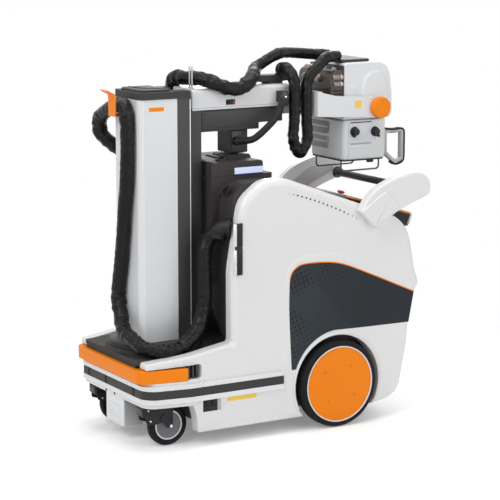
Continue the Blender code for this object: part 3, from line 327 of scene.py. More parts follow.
def grain_group():
    """The fine leathery grain of a moulded cover, or the flow of sprayed enamel."""
    group, enter, leave = new_group("grain", [("Scale", 900.0), ("Depth", 0.5), ("Coarse", 0.3)],
                                    [("Height", "NodeSocketFloat")])
    place = node(group, "TexCoord")
    cells = node(group, "TexVoronoi", feature="SMOOTH_F1")
    cells.inputs["Smoothness"].default_value = 0.6
    waves = node(group, "TexNoise", {"Detail": 2.0})
    third = node(group, "Math", {1: 0.18}, operation="MULTIPLY")
    mix = node(group, "Mix")
    out = node(group, "Math", operation="MULTIPLY")
    link = group.links.new
    link(place.outputs["Object"], cells.inputs["Vector"])
    link(place.outputs["Object"], waves.inputs["Vector"])
    link(enter.outputs["Scale"], cells.inputs["Scale"])
    link(enter.outputs["Scale"], third.inputs[0])
    link(third.outputs[0], waves.inputs["Scale"])
    link(enter.outputs["Coarse"], mix.inputs["Factor"])
    link(cells.outputs["Distance"], mix.inputs["A"])
    link(waves.outputs["Fac"], mix.inputs["B"])
    link(mix.outputs["Result"], out.inputs[0])
    link(enter.outputs["Depth"], out.inputs[1])
    link(out.outputs[0], leave.inputs["Height"])
    return group


def dust_group():
    """Floor dust and scuffs that fade out above a height."""
    grey = (0.5, 0.5, 0.5, 1)
    group, enter, leave = new_group("floor_dust", [("Colour", grey), ("Dust", grey), ("Top", 0.2),
                                                   ("Amount", 0.3)], [("Colour", "NodeSocketColor")])
    place = node(group, "TexCoord")
    split = node(group, "SeparateXYZ")
    fade = node(group, "MapRange", {"From Min": 0.0, "To Min": 1.0, "To Max": 0.0})
    specks = node(group, "TexNoise", {"Scale": 28.0, "Detail": 7.0, "Roughness": 0.7})
    pick = node(group, "MapRange", {"From Min": 0.42, "From Max": 0.68})
    both = node(group, "Math", operation="MULTIPLY")
    share = node(group, "Math", operation="MULTIPLY")
    mix = node(group, "Mix", data_type="RGBA")
    link = group.links.new
    link(place.outputs["Object"], split.inputs[0])
    link(place.outputs["Object"], specks.inputs["Vector"])
    link(split.outputs["Z"], fade.inputs["Value"])
    link(enter.outputs["Top"], fade.inputs["From Max"])
    link(specks.outputs["Fac"], pick.inputs["Value"])
    link(fade.outputs["Result"], both.inputs[0])
    link(pick.outputs["Result"], both.inputs[1])
    link(both.outputs[0], share.inputs[0])
    link(enter.outputs["Amount"], share.inputs[1])
    link(share.outputs[0], mix.inputs["Factor"])
    link(enter.outputs["Colour"], mix.inputs["A"])
    link(enter.outputs["Dust"], mix.inputs["B"])
    link(mix.outputs["Result"], leave.inputs["Colour"])
    return group


MOTTLE = mottle_group()
GRAIN = grain_group()
FLOOR_DUST = dust_group()


def placed(tree, group, values):
    made = tree.nodes.new("ShaderNodeGroup")
    made.node_tree = group
    for key, value in values.items():
        made.inputs[key].default_value = value
    return made


def rgba(colour):
    return (*colour, 1)


def surface(name, colour, second, scale, roughness, spread, grain=None, bump=0.0, dust=None, **shader):
    """A finish: mottled colour and gloss, a grain for the relief, and dust near the floor."""
    made = bpy.data.materials.new(name)
    made.use_nodes = True
    tree = made.node_tree
    link = tree.links.new
    main = tree.nodes["Principled BSDF"]
    for key, value in shader.items():
        main.inputs[key.replace("_", " ").title().replace("Ior", "IOR")].default_value = value
    tone = placed(tree, MOTTLE, {"Colour": rgba(colour), "Second": rgba(second), "Scale": scale,
                                 "Roughness": roughness, "Spread": spread})
    paint = tone.outputs["Colour"]
    if dust:
        floor = placed(tree, FLOOR_DUST, {"Dust": rgba(dust[0]), "Top": dust[1], "Amount": dust[2]})
        link(paint, floor.inputs["Colour"])
        paint = floor.outputs["Colour"]
    link(paint, main.inputs["Base Color"])
    link(tone.outputs["Roughness"], main.inputs["Roughness"])
    if grain:
        relief = placed(tree, GRAIN, {"Scale": grain[0], "Depth": grain[1], "Coarse": grain[2]})
        press = node(tree, "Bump", {"Strength": bump, "Distance": 0.001})
        link(relief.outputs["Height"], press.inputs["Height"])
        link(press.outputs["Normal"], main.inputs["Normal"])
    made.diffuse_color = rgba(colour)
    return made


DUSTY = (0.3, 0.28, 0.25)
WHITE = surface("white_shell", (0.735, 0.735, 0.74), (0.775, 0.775, 0.775), 2.5, 0.36, 0.04,
                (700, 0.5, 0.8), 0.06,
                (DUSTY, 0.16, 0.16), coat_weight=0.25, coat_roughness=0.22)
ENAMEL = surface("column_enamel", (0.68, 0.695, 0.71), (0.72, 0.73, 0.74), 3.0, 0.34, 0.04, (520, 0.5, 1.0),
                 0.08,
                 coat_weight=0.3, coat_roughness=0.25)
CHARCOAL = surface("charcoal_moulding", (0.032, 0.0285, 0.028), (0.041, 0.037, 0.036), 5.0, 0.52, 0.06,
                   (1100, 0.8, 0.35), 0.28, specular_ior_level=0.3)
MAT = surface("deck_rubber", (0.036, 0.033, 0.032), (0.052, 0.047, 0.045), 9.0, 0.74, 0.06, (620, 1.0, 0.4),
              0.55,
              specular_ior_level=0.3)
PROFILE = surface("dark_profile", (0.046, 0.044, 0.046), (0.054, 0.052, 0.054), 4.0, 0.4, 0.03,
                  (900, 0.4, 0.9),
                  0.08, specular_ior_level=0.35)
ORANGE = surface("orange_moulding", (0.88, 0.222, 0.0), (0.92, 0.245, 0.001), 4.0, 0.42, 0.04,
                 (800, 0.5, 0.7),
                 0.07, specular_ior_level=0.22)
SILVER = surface("satin_silver", (0.66, 0.68, 0.7), (0.73, 0.75, 0.77), 6.0, 0.3, 0.05, (1200, 0.4, 0.8),
                 0.06,
                 metallic=0.35)
CHROME = surface("bright_steel", (0.62, 0.62, 0.63), (0.72, 0.72, 0.73), 12.0, 0.2, 0.05, metallic=1.0)
BLACK = surface("black_plastic", (0.01, 0.01, 0.011), (0.016, 0.0155, 0.016), 8.0, 0.42, 0.06,
                (1200, 0.7, 0.3),
                0.2, specular_ior_level=0.28)
SOFT_GREY = surface("grey_moulding", (0.43, 0.43, 0.425), (0.48, 0.48, 0.475), 5.0, 0.45, 0.05,
                    (900, 0.5, 0.5),
                    0.1)
TYRE = surface("tyre_rubber", (0.0085, 0.0083, 0.0088), (0.0145, 0.014, 0.0145), 14.0, 0.58, 0.07,
               (420, 1.0, 0.5), 0.5, ((0.08, 0.076, 0.072), 0.06, 0.25), specular_ior_level=0.12)
RUBBER = surface("soft_rubber", (0.011, 0.01, 0.01), (0.018, 0.016, 0.016), 10.0, 0.6, 0.05,
                 (900, 0.9, 0.4),
                 0.3, specular_ior_level=0.25)
YELLOW = surface("yellow_label", (0.86, 0.56, 0.06), (0.9, 0.6, 0.09), 14.0, 0.4, 0.04)
PAPER = surface("pale_label", (0.62, 0.61, 0.59), (0.7, 0.69, 0.67), 16.0, 0.5, 0.04)
BROWN = surface("dark_cover", (0.04, 0.032, 0.029), (0.055, 0.044, 0.04), 7.0, 0.36, 0.05, (700, 0.6, 0.5),
                0.12)
GOLD = surface("brass_ring", (0.7, 0.47, 0.25), (0.78, 0.55, 0.32), 18.0, 0.28, 0.05, metallic=1.0)
SCREEN = surface("screen_glass", (0.01, 0.011, 0.013), (0.014, 0.015, 0.017), 3.0, 0.1, 0.03,
                 coat_weight=0.6,
                 coat_roughness=0.05)
RED = surface("red_button", (0.55, 0.02, 0.02), (0.62, 0.03, 0.03), 20.0, 0.35, 0.04)

DISC_GREY = surface("disc_grey", (0.125, 0.13, 0.145), (0.15, 0.156, 0.172), 12.0, 0.4, 0.05,
                    (900, 0.5, 0.5), 0.08)
# Painted highlight: a paler white that stands in for the light caught along the column's chamfered corners.
CHAMFER_HIGHLIGHT = surface("chamfer_painted_highlight", (0.86, 0.87, 0.88), (0.9, 0.905, 0.91), 4.0, 0.24, 0.03, (600, 0.3, 1.0),
                 0.03)
PINK_GREY = surface("warm_steel", (0.46, 0.4, 0.39), (0.54, 0.48, 0.46), 20.0, 0.3, 0.05, metallic=0.6)
SEAM = surface("seam_shadow", (0.1, 0.1, 0.105), (0.12, 0.12, 0.125), 20.0, 0.6, 0.04)
# Painted shade: a mid grey that stands in for the shade in the collimator's front recess.
SHADE_GREY = surface("recess_painted_shade", (0.27, 0.27, 0.27), (0.33, 0.33, 0.33), 9.0, 0.45, 0.05,
                     (900, 0.5, 0.5), 0.1)
WORN_GREY = surface("worn_connector", (0.2, 0.18, 0.18), (0.33, 0.3, 0.3), 26.0, 0.34, 0.08, metallic=0.5)
WIRE = surface("wire_steel", (0.1, 0.098, 0.098), (0.16, 0.155, 0.155), 22.0, 0.32, 0.06, metallic=0.6)
# Painted shade: a darker orange that stands in for the shade inside the wheel disc's pressed dimples.
DIMPLE_SHADE = surface("dimple_painted_shade", (0.7, 0.15, 0.0), (0.76, 0.17, 0.0), 14.0, 0.44, 0.04,
                specular_ior_level=0.2)
BLUE = surface("blue_underlight", (0.012, 0.016, 0.16), (0.018, 0.024, 0.22), 12.0, 0.4, 0.04)
PALE_BLUE = surface("dial_panel", (0.66, 0.68, 0.74), (0.7, 0.72, 0.78), 12.0, 0.42, 0.04)


def lamp_finish():
    """The status light: a milky strip that glows blue-white."""
    made = surface("status_glow", (0.62, 0.68, 0.86), (0.68, 0.74, 0.92), 10.0, 0.35, 0.04)
    main = made.node_tree.nodes["Principled BSDF"]
    main.inputs["Emission Color"].default_value = (0.62, 0.72, 1.0, 1)
    main.inputs["Emission Strength"].default_value = 0.3
    return made


GLOW = lamp_finish()


def graphic_finish():
    """The slate film on the sides: faint facets, and a fading field of dots at the front."""
    made = surface("slate_film", (0.0085, 0.0135, 0.0185), (0.0105, 0.016, 0.0215), 2.0, 0.34, 0.03,
                   (700, 0.3, 1.0),
                   0.04, specular_ior_level=0.28)
    tree = made.node_tree
    link = tree.links.new
    main = tree.nodes["Principled BSDF"]
    base = main.inputs["Base Color"].links[0].from_socket
    place = node(tree, "TexCoord")
    split = node(tree, "SeparateXYZ")
    link(place.outputs["Object"], split.inputs[0])

    def line(a, b, c):
        """a * y + b * z + c"""
        y = node(tree, "Math", {1: a}, operation="MULTIPLY")
        z = node(tree, "Math", {1: b, 2: c}, operation="MULTIPLY_ADD")
        both = node(tree, "Math", operation="ADD")
        link(split.outputs["Y"], y.inputs[0])
        link(split.outputs["Z"], z.inputs[0])
        link(y.outputs[0], both.inputs[0])
        link(z.outputs[0], both.inputs[1])
        return both.outputs[0]

    def ranged(value, low, high):
        made_range = node(tree, "MapRange", {"From Min": low, "From Max": high})
        link(value, made_range.inputs["Value"])
        return made_range.outputs["Result"]

    def product(a, b):
        out = node(tree, "Math", operation="MULTIPLY")
        link(a, out.inputs[0])
        link(b, out.inputs[1])
        return out.outputs[0]

    pitch = 0.0195
    cells = node(tree, "TexVoronoi", {"Scale": 1.0, "Randomness": 0.0}, feature="F1",
                 voronoi_dimensions="2D")
    across_x, across_z = line(1 / pitch, 0.35 / pitch, 0), line(-0.35 / pitch, 1 / pitch, 0)
    joined = node(tree, "CombineXYZ")
    link(across_x, joined.inputs[0])
    link(across_z, joined.inputs[1])
    link(joined.outputs[0], cells.inputs["Vector"])
    bands = node(tree, "TexNoise", {"Scale": 9.0, "Detail": 1.0})
    link(place.outputs["Object"], bands.inputs["Vector"])
    reach = node(tree, "Math", {1: 0.46}, operation="MULTIPLY")
    link(ranged(line(-1.0, 0.55, 0.0), -0.06, 0.26), reach.inputs[0])
    size = product(reach.outputs[0], ranged(bands.outputs["Fac"], 0.3, 0.62))
    dot = node(tree, "Math", operation="SUBTRACT")
    link(size, dot.inputs[0])
    link(cells.outputs["Distance"], dot.inputs[1])
    dots = ranged(dot.outputs[0], -0.02, 0.03)
    shade = node(tree, "Mix", {"B": (0.022, 0.03, 0.038, 1)}, data_type="RGBA")
    link(product(ranged(line(-1.0, 0.5, 0.0), -0.12, 0.22), ranged(line(0, 0, 1), 0, 1)),
         shade.inputs["Factor"])
    link(base, shade.inputs["A"])
    spots = node(tree, "Mix", {"B": (0.0052, 0.0078, 0.011, 1)}, data_type="RGBA")
    link(dots, spots.inputs["Factor"])
    link(shade.outputs["Result"], spots.inputs["A"])
    facets = node(tree, "Mix", {"B": (0.0045, 0.007, 0.0095, 1)}, data_type="RGBA")
    wedge = product(ranged(line(1.0, 0.9, -0.62), -0.001, 0.001),
                    ranged(line(-1.0, 0.25, 0.23), -0.001, 0.001))
    strength = node(tree, "Math", {1: 0.3}, operation="MULTIPLY")
    link(wedge, strength.inputs[0])
    link(strength.outputs[0], facets.inputs["Factor"])
    link(spots.outputs["Result"], facets.inputs["A"])
    link(facets.outputs["Result"], main.inputs["Base Color"])
    return made


GRAPHIC = graphic_finish()


def sleeve_finish():
    """Black coated nylon, woven fine, with a soft sheen; it follows the sleeve's own map."""
    made = bpy.data.materials.new("nylon_sleeve")
    made.use_nodes = True
    tree = made.node_tree
    link = tree.links.new
    main = tree.nodes["Principled BSDF"]
    main.inputs["Sheen Weight"].default_value = 0.02
    main.inputs["Specular IOR Level"].default_value = 0.22
    main.inputs["Sheen Roughness"].default_value = 0.4
    tone = placed(tree, MOTTLE, {"Colour": (0.0028, 0.0028, 0.0034, 1),
                                 "Second": (0.0056, 0.0054, 0.0064, 1),
                                 "Scale": 16.0, "Roughness": 0.35, "Spread": 0.08})
    link(tone.outputs["Colour"], main.inputs["Base Color"])
    link(tone.outputs["Roughness"], main.inputs["Roughness"])
    sheet = node(tree, "UVMap", uv_map="sleeve")
    split = node(tree, "SeparateXYZ")
    link(sheet.outputs["UV"], split.inputs[0])
    heights = []
    for axis in "XY":
        thread = node(tree, "Math", {1: math.tau / 0.0016}, operation="MULTIPLY")
        wave = node(tree, "Math", operation="SINE")
        link(split.outputs[axis], thread.inputs[0])
        link(thread.outputs[0], wave.inputs[0])
        heights.append(wave.outputs[0])
    weave = node(tree, "Math", operation="MULTIPLY")
    link(heights[0], weave.inputs[0])
    link(heights[1], weave.inputs[1])
    creases = placed(tree, GRAIN, {"Scale": 95.0, "Depth": 1.0, "Coarse": 0.75})
    press = node(tree, "Bump", {"Strength": 0.95, "Distance": 0.0055})
    link(creases.outputs["Height"], press.inputs["Height"])
    fine = node(tree, "Bump", {"Strength": 0.12, "Distance": 0.0003})
    link(weave.outputs[0], fine.inputs["Height"])
    link(press.outputs["Normal"], fine.inputs["Normal"])
    link(fine.outputs["Normal"], main.inputs["Normal"])
    return made


NYLON = sleeve_finish()

# The cable sleeves

WIDE_R = 0.026           # up the column
SLIM_R = 0.021           # over the boom and in the loop
SLEEVES = (
    (("sleeve_base_column", (
        (0.1922, -0.2565, 0.7791), (0.1806, -0.2854, 0.7735), (0.177, -0.308, 0.726), (0.186, -0.315, 0.63),
        (0.189, -0.318, 0.532), (0.195, -0.35, 0.431), (0.214, -0.42, 0.378), (0.223, -0.505, 0.3655),
        (0.185, -0.566, 0.374), (0.115, -0.59, 0.402), (0.05, -0.588, 0.424), (0.005, -0.574, 0.465),
        (-0.028, -0.569, 0.539), (0.004, -0.569, 0.691), (0.029, -0.569, 0.842), (0.053, -0.569, 0.988),
        (0.062, -0.569, 1.12), (0.058, -0.569, 1.215))),
      ("sleeve_column_mast", (
        (0.058, -0.569, 1.215), (0.042, -0.569, 1.254), (0.002, -0.57, 1.266), (-0.05, -0.571, 1.252),
        (-0.105, -0.572, 1.23), (-0.15, -0.572, 1.205), (-0.174, -0.566, 1.165), (-0.17, -0.552, 1.128),
        (-0.15, -0.522, 1.095), (-0.1345, -0.485, 1.06), (-0.134, -0.475, 1.0), (-0.134, -0.448, 0.95),
        (-0.134, -0.415, 0.94), (-0.1335, -0.386, 0.965), (-0.1335, -0.374, 1.04), (-0.134, -0.356, 1.12),
        (-0.1335, -0.314, 1.19),
        (-0.122, -0.291, 1.26), (-0.108, -0.288, 1.31),
        (-0.07, -0.293, 1.345), (-0.01, -0.286, 1.35), (0.045, -0.264, 1.35), (0.09, -0.225, 1.338),
        (0.108, -0.175, 1.316), (0.109, -0.12, 1.312), (0.103, -0.076, 1.33), (0.068, -0.035, 1.352))),
      ("sleeve_mast_boom", ((0.068, -0.035, 1.352), (0.025, -0.002, 1.368), (0.0, 0.025, 1.38),
                            (0.0, 0.04, 1.389))),
      ("sleeve_boom_yoke", ((0.0, 0.04, 1.389), (0.0, 0.065, 1.402), (0.0, 0.105, 1.419),
                            (0.0, 0.145, 1.428), (0.0, 0.2, 1.424), (0.0, 0.29, 1.4148))),
      ("sleeve_yoke_head", ((0.0, 0.29, 1.4148), (0.0, 0.315, 1.414), (0.0, 0.35, 1.4128)))),
    (("loop_mast_boom", (
        (0.0303, 0.11, 1.374), (0.07, 0.118, 1.37), (0.101, 0.127, 1.33), (0.106, 0.1275, 1.27),
        (0.106, 0.1275, 1.18), (0.106, 0.124, 1.095), (0.106, 0.154, 1.048))),
      ("loop_boom_yoke", (
        (0.106, 0.154, 1.048), (0.107, 0.184, 1.095), (0.108, 0.181, 1.18), (0.108, 0.1808, 1.24),
        (0.108, 0.179, 1.288), (0.1062, 0.193, 1.34), (0.1, 0.235, 1.375))),
      ("loop_yoke_head", ((0.1, 0.235, 1.375), (0.085, 0.285, 1.406), (0.07, 0.35, 1.4128)))),
)
CROSSINGS = {
    "sleeve_base_column": ("base", "column", (0.21, -0.3, 0.5), (0.06, -0.55, 0.5)),
    "sleeve_column_mast": ("column", "mast", (0.0, -0.5, 1.1), (0.0, -0.3, 1.1)),
    "sleeve_mast_boom": ("mast", "boom", (0.0, -0.036, 1.38), (0.0, 0.036, 1.38)),
    "sleeve_boom_yoke": ("boom", "yoke", (0.0, 0.09, 1.42), (0.0, 0.285, 1.42)),
    "sleeve_yoke_head": ("yoke", "head", (0.0, 0.293, 1.41), (0.0, 0.345, 1.41)),
    "loop_mast_boom": ("mast", "boom", (0.106, 0.13, 1.33), (0.106, 0.13, 1.06)),
    "loop_boom_yoke": ("boom", "yoke", (0.106, 0.18, 1.06), (0.106, 0.18, 1.3)),
    "loop_yoke_head": ("yoke", "head", (0.09, 0.24, 1.38), (0.07, 0.345, 1.41)),
}
GIRTH = {"sleeve_base_column": (WIDE_R, WIDE_R), "sleeve_column_mast": (WIDE_R, WIDE_R),
         "sleeve_mast_boom": (WIDE_R, SLIM_R)}
SLEEVE_STEP = 0.0032
SLEEVE_SIDES = 40


def crumple(walked, angle, bend, seed):
    """How far the cloth stands out of the even tube, from folds across it and slack along it."""
    ring = Vector((math.cos(angle), math.sin(angle), 0))
    slack = noise.noise(ring * 0.9 + Vector((seed, 0, walked / 0.12)))
    folds = noise.noise(ring * 0.55 + Vector((0, seed, walked / 0.017)))
    ridge = 1 - abs(noise.noise(ring * 0.8 + Vector((seed, seed, walked / 0.031)))) * 2.6
    tight = min(1.0, 0.22 + bend * 0.085)
    return 0.0013 * slack + tight * (0.004 * folds + 0.0032 * max(-0.6, ridge))


def sleeves():
    """One smooth line for each run, cut into the pieces that cross one joint each."""
    made = {}
    for seed, run in enumerate(SLEEVES):
        corners = [Vector(p) for index,
                   (name, points) in enumerate(run) for p in (points if not index else points[1:])]
        line = smooth_line(corners, SLEEVE_STEP)
        rows = frames(line)
        walked = [0.0]
        for a, b in zip(line, line[1:]):
            walked.append(walked[-1] + (b - a).length)
        bends = []
        for index in range(len(rows)):
            low, high = max(0, index - 4), min(len(rows) - 1, index + 4)
            bends.append(rows[low][1].angle(rows[high][1]) / max(walked[high] - walked[low], 1e-6))
        first = 0
        for index, (name, points) in enumerate(run):
            last = min(range(len(line)), key=lambda k: (line[k] - Vector(points[-1])).length)
            if index == len(run) - 1:
                last = len(line) - 1
            span = rows[first:last + 1]
            thick, thin = GIRTH.get(name, (SLIM_R, SLIM_R))

            def radius(row, angle, first=first, last=last, thick=thick, thin=thin, seed=seed):
                k = first + row
                edge = min(walked[k], walked[-1] - walked[k])
                gather = 0.9 + 0.1 * min(1.0, edge / 0.03)
                even = (thick + (thin - thick) * row / (last - first)) * gather
                folds = crumple(walked[k], angle, bends[k], 3.7 * seed + 1.3) / WIDE_R
                return even * (1 + folds * min(1.0, edge / 0.02))

            bm = sweep(span, SLEEVE_SIDES, radius)
            sheet = bm.loops.layers.uv.new("sleeve")
            bm.verts.index_update()
            for face in bm.faces:
                if len(face.verts) > 4:
                    continue
                columns = [loop.vert.index % SLEEVE_SIDES for loop in face.loops]
                for loop, column in zip(face.loops, columns):
                    if column == 0 and max(columns) == SLEEVE_SIDES - 1:
                        column = SLEEVE_SIDES
                    loop[sheet].uv = (math.tau * thick * column / SLEEVE_SIDES,
                                      walked[first + loop.vert.index // SLEEVE_SIDES])
            piece = finish(bm, name + "_cloth", NYLON, None, 180)
            a, b, start, end = CROSSINGS[name]
            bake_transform(piece)
            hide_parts(name)
            made[name] = (piece, [tuple(p) for p in line[first:last + 1]], walked[last] - walked[first])
            first = last
    for name, others in (("sleeve_base_column", ()), ("sleeve_column_mast", ("sleeve_mast_boom",)),
                         ("sleeve_boom_yoke", ("sleeve_yoke_head",)), ("loop_mast_boom", ()),
                         ("loop_boom_yoke", ("loop_yoke_head",))):
        piece, path, length = made[name]


sleeves()

# The solids' finishes

FINISHES = (
    (WHITE, "white_shell", "side_panel_left side_panel_right base_shell rear_panel wing_left wing_right "
                           "collimator_box"),
    (ENAMEL, "white_metal", "column_housing boom_shell yoke_fork tube_housing"),
    (CHARCOAL, "charcoal",
     "cabinet front_cover top_cap drive_handle chassis slot_trim column_plinth column_cap "
                           "boom_carriage dock_shoe grip_bar cable_clip rub_strip"),
    (MAT, "charcoal", "deck_mat"),
    (SCREEN, "charcoal", "display"),
    (PROFILE, "dark_metal", "column_rail"),
    (GRAPHIC, "graphic", "side_inlay_left side_inlay_right"),
    (ORANGE, "orange", "bumper cable_hook tilt_shaft drive_hub_left drive_hub_right"),
    (SILVER, "silver", "rub_rail sensor_box boom_inner"),
    (PROFILE, "silver", "inner_mast"),
    (SOFT_GREY, "silver", "collimator_handle_left collimator_handle_right"),
    (CHROME, "steel", "boom_collar"),
    (BLACK, "steel", "caster_fork_left caster_fork_right"),
    (BLACK, "black", "hose_port spacer_guard"),
    (BROWN, "black", "tube_end"),
    (TYRE, "tyre", "drive_tyre_left drive_tyre_right caster_wheel_left caster_wheel_right"),
    (GLOW, "light", "status_light"),
    (SOFT_GREY, "iron", "power_unit"),
)
EDGES = {
    # node: (bevel width, segments)
    "column_housing": (0.006, 3), "column_cap": (0.006, 3), "boom_shell": (0.01, 4),
    "yoke_fork": (0.004, 3),
    "tube_housing": (0.01, 4), "collimator_box": (0.012, 4), "top_cap": (0.004, 3), "bumper": (0.006, 3),
    "sensor_box": (0.003, 2), "boom_carriage": (0.004, 2), "dock_shoe": (0.006, 3), "display": (0.004, 2),
    "wing_left": (0.006, 3), "wing_right": (0.006, 3), "rear_panel": (0.006, 3), "deck_mat": (0.002, 2),
    "side_panel_left": (0.002, 2), "side_panel_right": (0.002, 2), "cabinet": (0.003, 2),
    "front_cover": (0.003, 2),
    "drive_hub_left": (0.002, 2), "drive_hub_right": (0.002, 2), "hose_port": (0.002, 2),
    "tube_end": (0.004, 2),
    "tilt_shaft": (0.004, 3), "cable_clip": (0.003, 2), "base_shell": (0.003, 2), "rub_rail": (0.001, 2),
    "column_plinth": (0.003, 2), "boom_inner": (0.002, 2), "inner_mast": (0.002, 2),
    "column_rail": (0.001, 2),
    "cable_hook": (0.0015, 2), "grip_bar": (0.0015, 2), "status_light": (0.001, 2),
    "slot_trim": (0.0006, 2),
}


def soften(name, width=0.0, segments=2):
    """Smooth shading for a solid, and real radii where its edges are sharp."""
    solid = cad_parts[name]
    solid.data.shade_smooth()
    weld = solid.modifiers.new("weld", "WELD")
    weld.merge_threshold = 0.0001
    if width:
        edge = solid.modifiers.new("radii", "BEVEL")
        edge.width = width
        edge.segments = segments
        edge.limit_method = "ANGLE"
        edge.angle_limit = math.radians(32)
        edge.harden_normals = False
    weighted(solid)


for material, slot, names in FINISHES:
    for name in names.split():
        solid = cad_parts[name]
        solid.data.materials.clear()
        solid.data.materials.append(material)
        soften(name, *EDGES.get(name, ()))

# Detail pieces

def even(outline, spacing=0.007):
    """The outline with points no further apart than a spacing."""
    out = []
    for a, b in zip(outline, outline[1:] + outline[:1]):
        if (b - a).length < 0.0003:
            continue
        steps = max(1, math.ceil((b - a).length / spacing))
        out += [a.lerp(b, k / steps) for k in range(steps)]
    return out


def inwards(points, distances):
    """The closed outline moved towards its inside by a distance at each point."""
    area = sum(a.x * b.y - b.x * a.y for a, b in zip(points, points[1:] + points[:1]))
    turn = -1 if area > 0 else 1
    out = []
    for index, point in enumerate(points):
        before = (point - points[index - 1]).normalized()
        after = (points[(index + 1) % len(points)] - point).normalized()
        normal = turn * Vector((before.y + after.y, -before.x - after.x)).normalized()
        edge = turn * Vector((before.y, -before.x))
        out.append(point + normal * distances[index] / max(0.6, normal.dot(edge)))
    return out


def settled(points, moved, wanted):
    """The moved outline, with the points a tight corner has crossed over laid on the line past it."""
    start = np.array([tuple(p) for p in points])
    along = np.roll(start, -1, axis=0) - start
    place = np.array([tuple(p) for p in moved])[:, None, :] - start[None, :, :]
    share = np.clip((place * along).sum(-1) / np.maximum((along * along).sum(-1), 1e-12), 0, 1)
    gap = np.sqrt(((place - share[:, :, None] * along[None, :, :]) ** 2).sum(-1)).min(1)
    crossed = gap < 0.9 * np.array(wanted) - 1e-6
    count, out = len(moved), list(moved)
    if crossed.all():
        return out
    for k in np.nonzero(crossed)[0]:
        a = next(j for j in range(1, count) if not crossed[(k - j) % count])
        b = next(j for j in range(1, count) if not crossed[(k + j) % count])
        out[k] = moved[(k - a) % count].lerp(moved[(k + b) % count], a / (a + b))
    return out


def moulded(outline, low, high, width, depth, side, profile):
    """A plate facing sideways; its outer edge runs down by depth over a width set at each point."""
    points = even(outline)
    wide = [width(p.x, p.y) for p in points]
    for _ in range(6):
        wide = [(wide[k - 1] + wide[k] + wide[(k + 1) % len(wide)]) / 3 for k in range(len(wide))]
    deep = [depth * min(1.0, w / max(wide)) for w in wide]
    bm = bmesh.new()
    rings = [[bm.verts.new((side * low, p.x, p.y)) for p in points]]
    for share, rise in profile:
        moved = settled(points, inwards(points, [w * share for w in wide]), [w * share for w in wide])
        rings.append([bm.verts.new((side * (high - d * (1 - rise)), p.x, p.y)) for p,
                      d in zip(moved, deep)])
    reach = [w + 0.002 for w in wide]
    moved = settled(points, inwards(points, reach), reach)
    rings.append([bm.verts.new((side * high, p.x, p.y)) for p in moved])
    for ring, following in zip(rings, rings[1:]):
        for k in range(len(ring)):
            last = (k + 1) % len(ring)
            bm.faces.new((ring[k], ring[last], following[last], following[k]))
    bm.faces.new(rings[0])
    bm.faces.new(rings[-1])
    return bm


ROLLED = [(1 - math.cos(math.radians(a)), math.sin(math.radians(a))) for a in range(0, 91, 9)]
SOFT_STEP = [(k / 8, (k / 8) ** 2 * (3 - k / 4)) for k in range(9)]


def ribbon(points, x, thick, round_by=0.0, spacing=0.004):
    """A strip of one thickness along a line in the side plane, from one x to another."""
    line = [p.yz for p in smooth_line([(0, y, z) for y, z in points], spacing)]
    left, right = [], []
    for index, point in enumerate(line):
        ahead = (line[min(index + 1, len(line) - 1)] - line[max(index - 1, 0)]).normalized()
        normal = Vector((-ahead.y, ahead.x)) * thick / 2
        left.append(point + normal)
        right.append(point - normal)
    return plate(left + right[::-1], "X", x[0], x[1], round_by)


def tilted(bm, angle, centre, axis=(1, 0, 0)):
    turn = Matrix.Translation(centre) @ Matrix.Rotation(math.radians(angle), 4, axis)
    bmesh.ops.transform(bm, matrix=turn @ Matrix.Translation([-c for c in centre]), verts=bm.verts)
    return bm


def dish(radius, place, axis, rise=0.0008, steps=20):
    """A small countersunk hole or rivet head, proud by rise on its rim."""
    rows = [(0, -0.0016), (radius * 0.62, -0.0016), (radius * 0.8, 0), (radius * 0.93, rise), (radius, 0),
            (radius, -0.0022), (0, -0.0022)]
    return turned(rows, place, axis, steps)


# Side shells

FACE = 0.3
WHEEL = Vector((0.2065, 0.17))
ARCH_R = 0.19
SHELL_SIDE = (
    # y, z, fillet radius
    (-0.4075, 0.058, 0.006), (-0.412, 0.118, 0.04), (-0.423, 0.156, 0.016), (-0.43, 0.1646, 0),
    (-0.4075, 0.1646, 0), (-0.4075, 0.2153, 0), (-0.447, 0.2153, 0), (-0.447, 0.264, 0),
    (-0.392, 0.264, 0.013),
    (-0.392, 0.32, 0.016), (-0.6095, 0.3115, 0.004), (-0.6095, 0.334, 0.012), (-0.43, 0.353, 0.3),
    (-0.26, 0.382, 0.012), (-0.26, 0.655, 0.3), (-0.215, 0.914, 0.11), (-0.125, 0.983, 0.11),
    (-0.027, 0.985, 0.18), (0.5358, 0.7796, 0.165),
    (0.5855, 0.525, 0.014), (0.5645, 0.497, 0.008), (0.5405, 0.381, 0.06), (0.53, 0.28, 0.11),
    (0.492, 0.088, 0.098), (0.3655, 0.066, 0), (0.053, 0.058, 0),
)
FILM_TOP = ((-0.0015, 0.246), (-0.012, 0.44), (-0.013, 0.544), (-0.007, 0.612), (0.02, 0.643),
            (0.06, 0.653), (0.157, 0.65), (0.238, 0.633), (0.363, 0.582), (0.5615, 0.4955))
FILM_FOOT = ((0.538, 0.3755), (0.324, 0.378), (0.241, 0.38))
FENDER = (
    (-0.034, 0.064, 0.004), (-0.039, 0.42, 0.2), (-0.037, 0.69, 0.12), (0.205, 0.69, 0.25),
    (0.564, 0.533, 0.008), (0.556, 0.496, 0.02), (0.53, 0.376, 0.06), (0.519, 0.28, 0.11),
    (0.482, 0.095, 0.09), (0.379, 0.076, 0), (0.04, 0.064, 0),
)


def film_outline():
    """A swept top, a straight foot, and an arc round the wheel; with the part the orange line follows."""
    top = [p.yz for p in smooth_line([(0, y, z) for y, z in FILM_TOP], 0.005)]
    arc = [WHEEL + (0.2116 - 0.008 * k / 24) * Vector((math.cos(a), math.sin(a)))
           for k in range(25) for a in (math.radians(94.5 + 63.3 * k / 24),)]
    return top + [Vector(p) for p in FILM_FOOT] + arc, [p for p in top if p.y > 0.6 or p.x > 0.0]


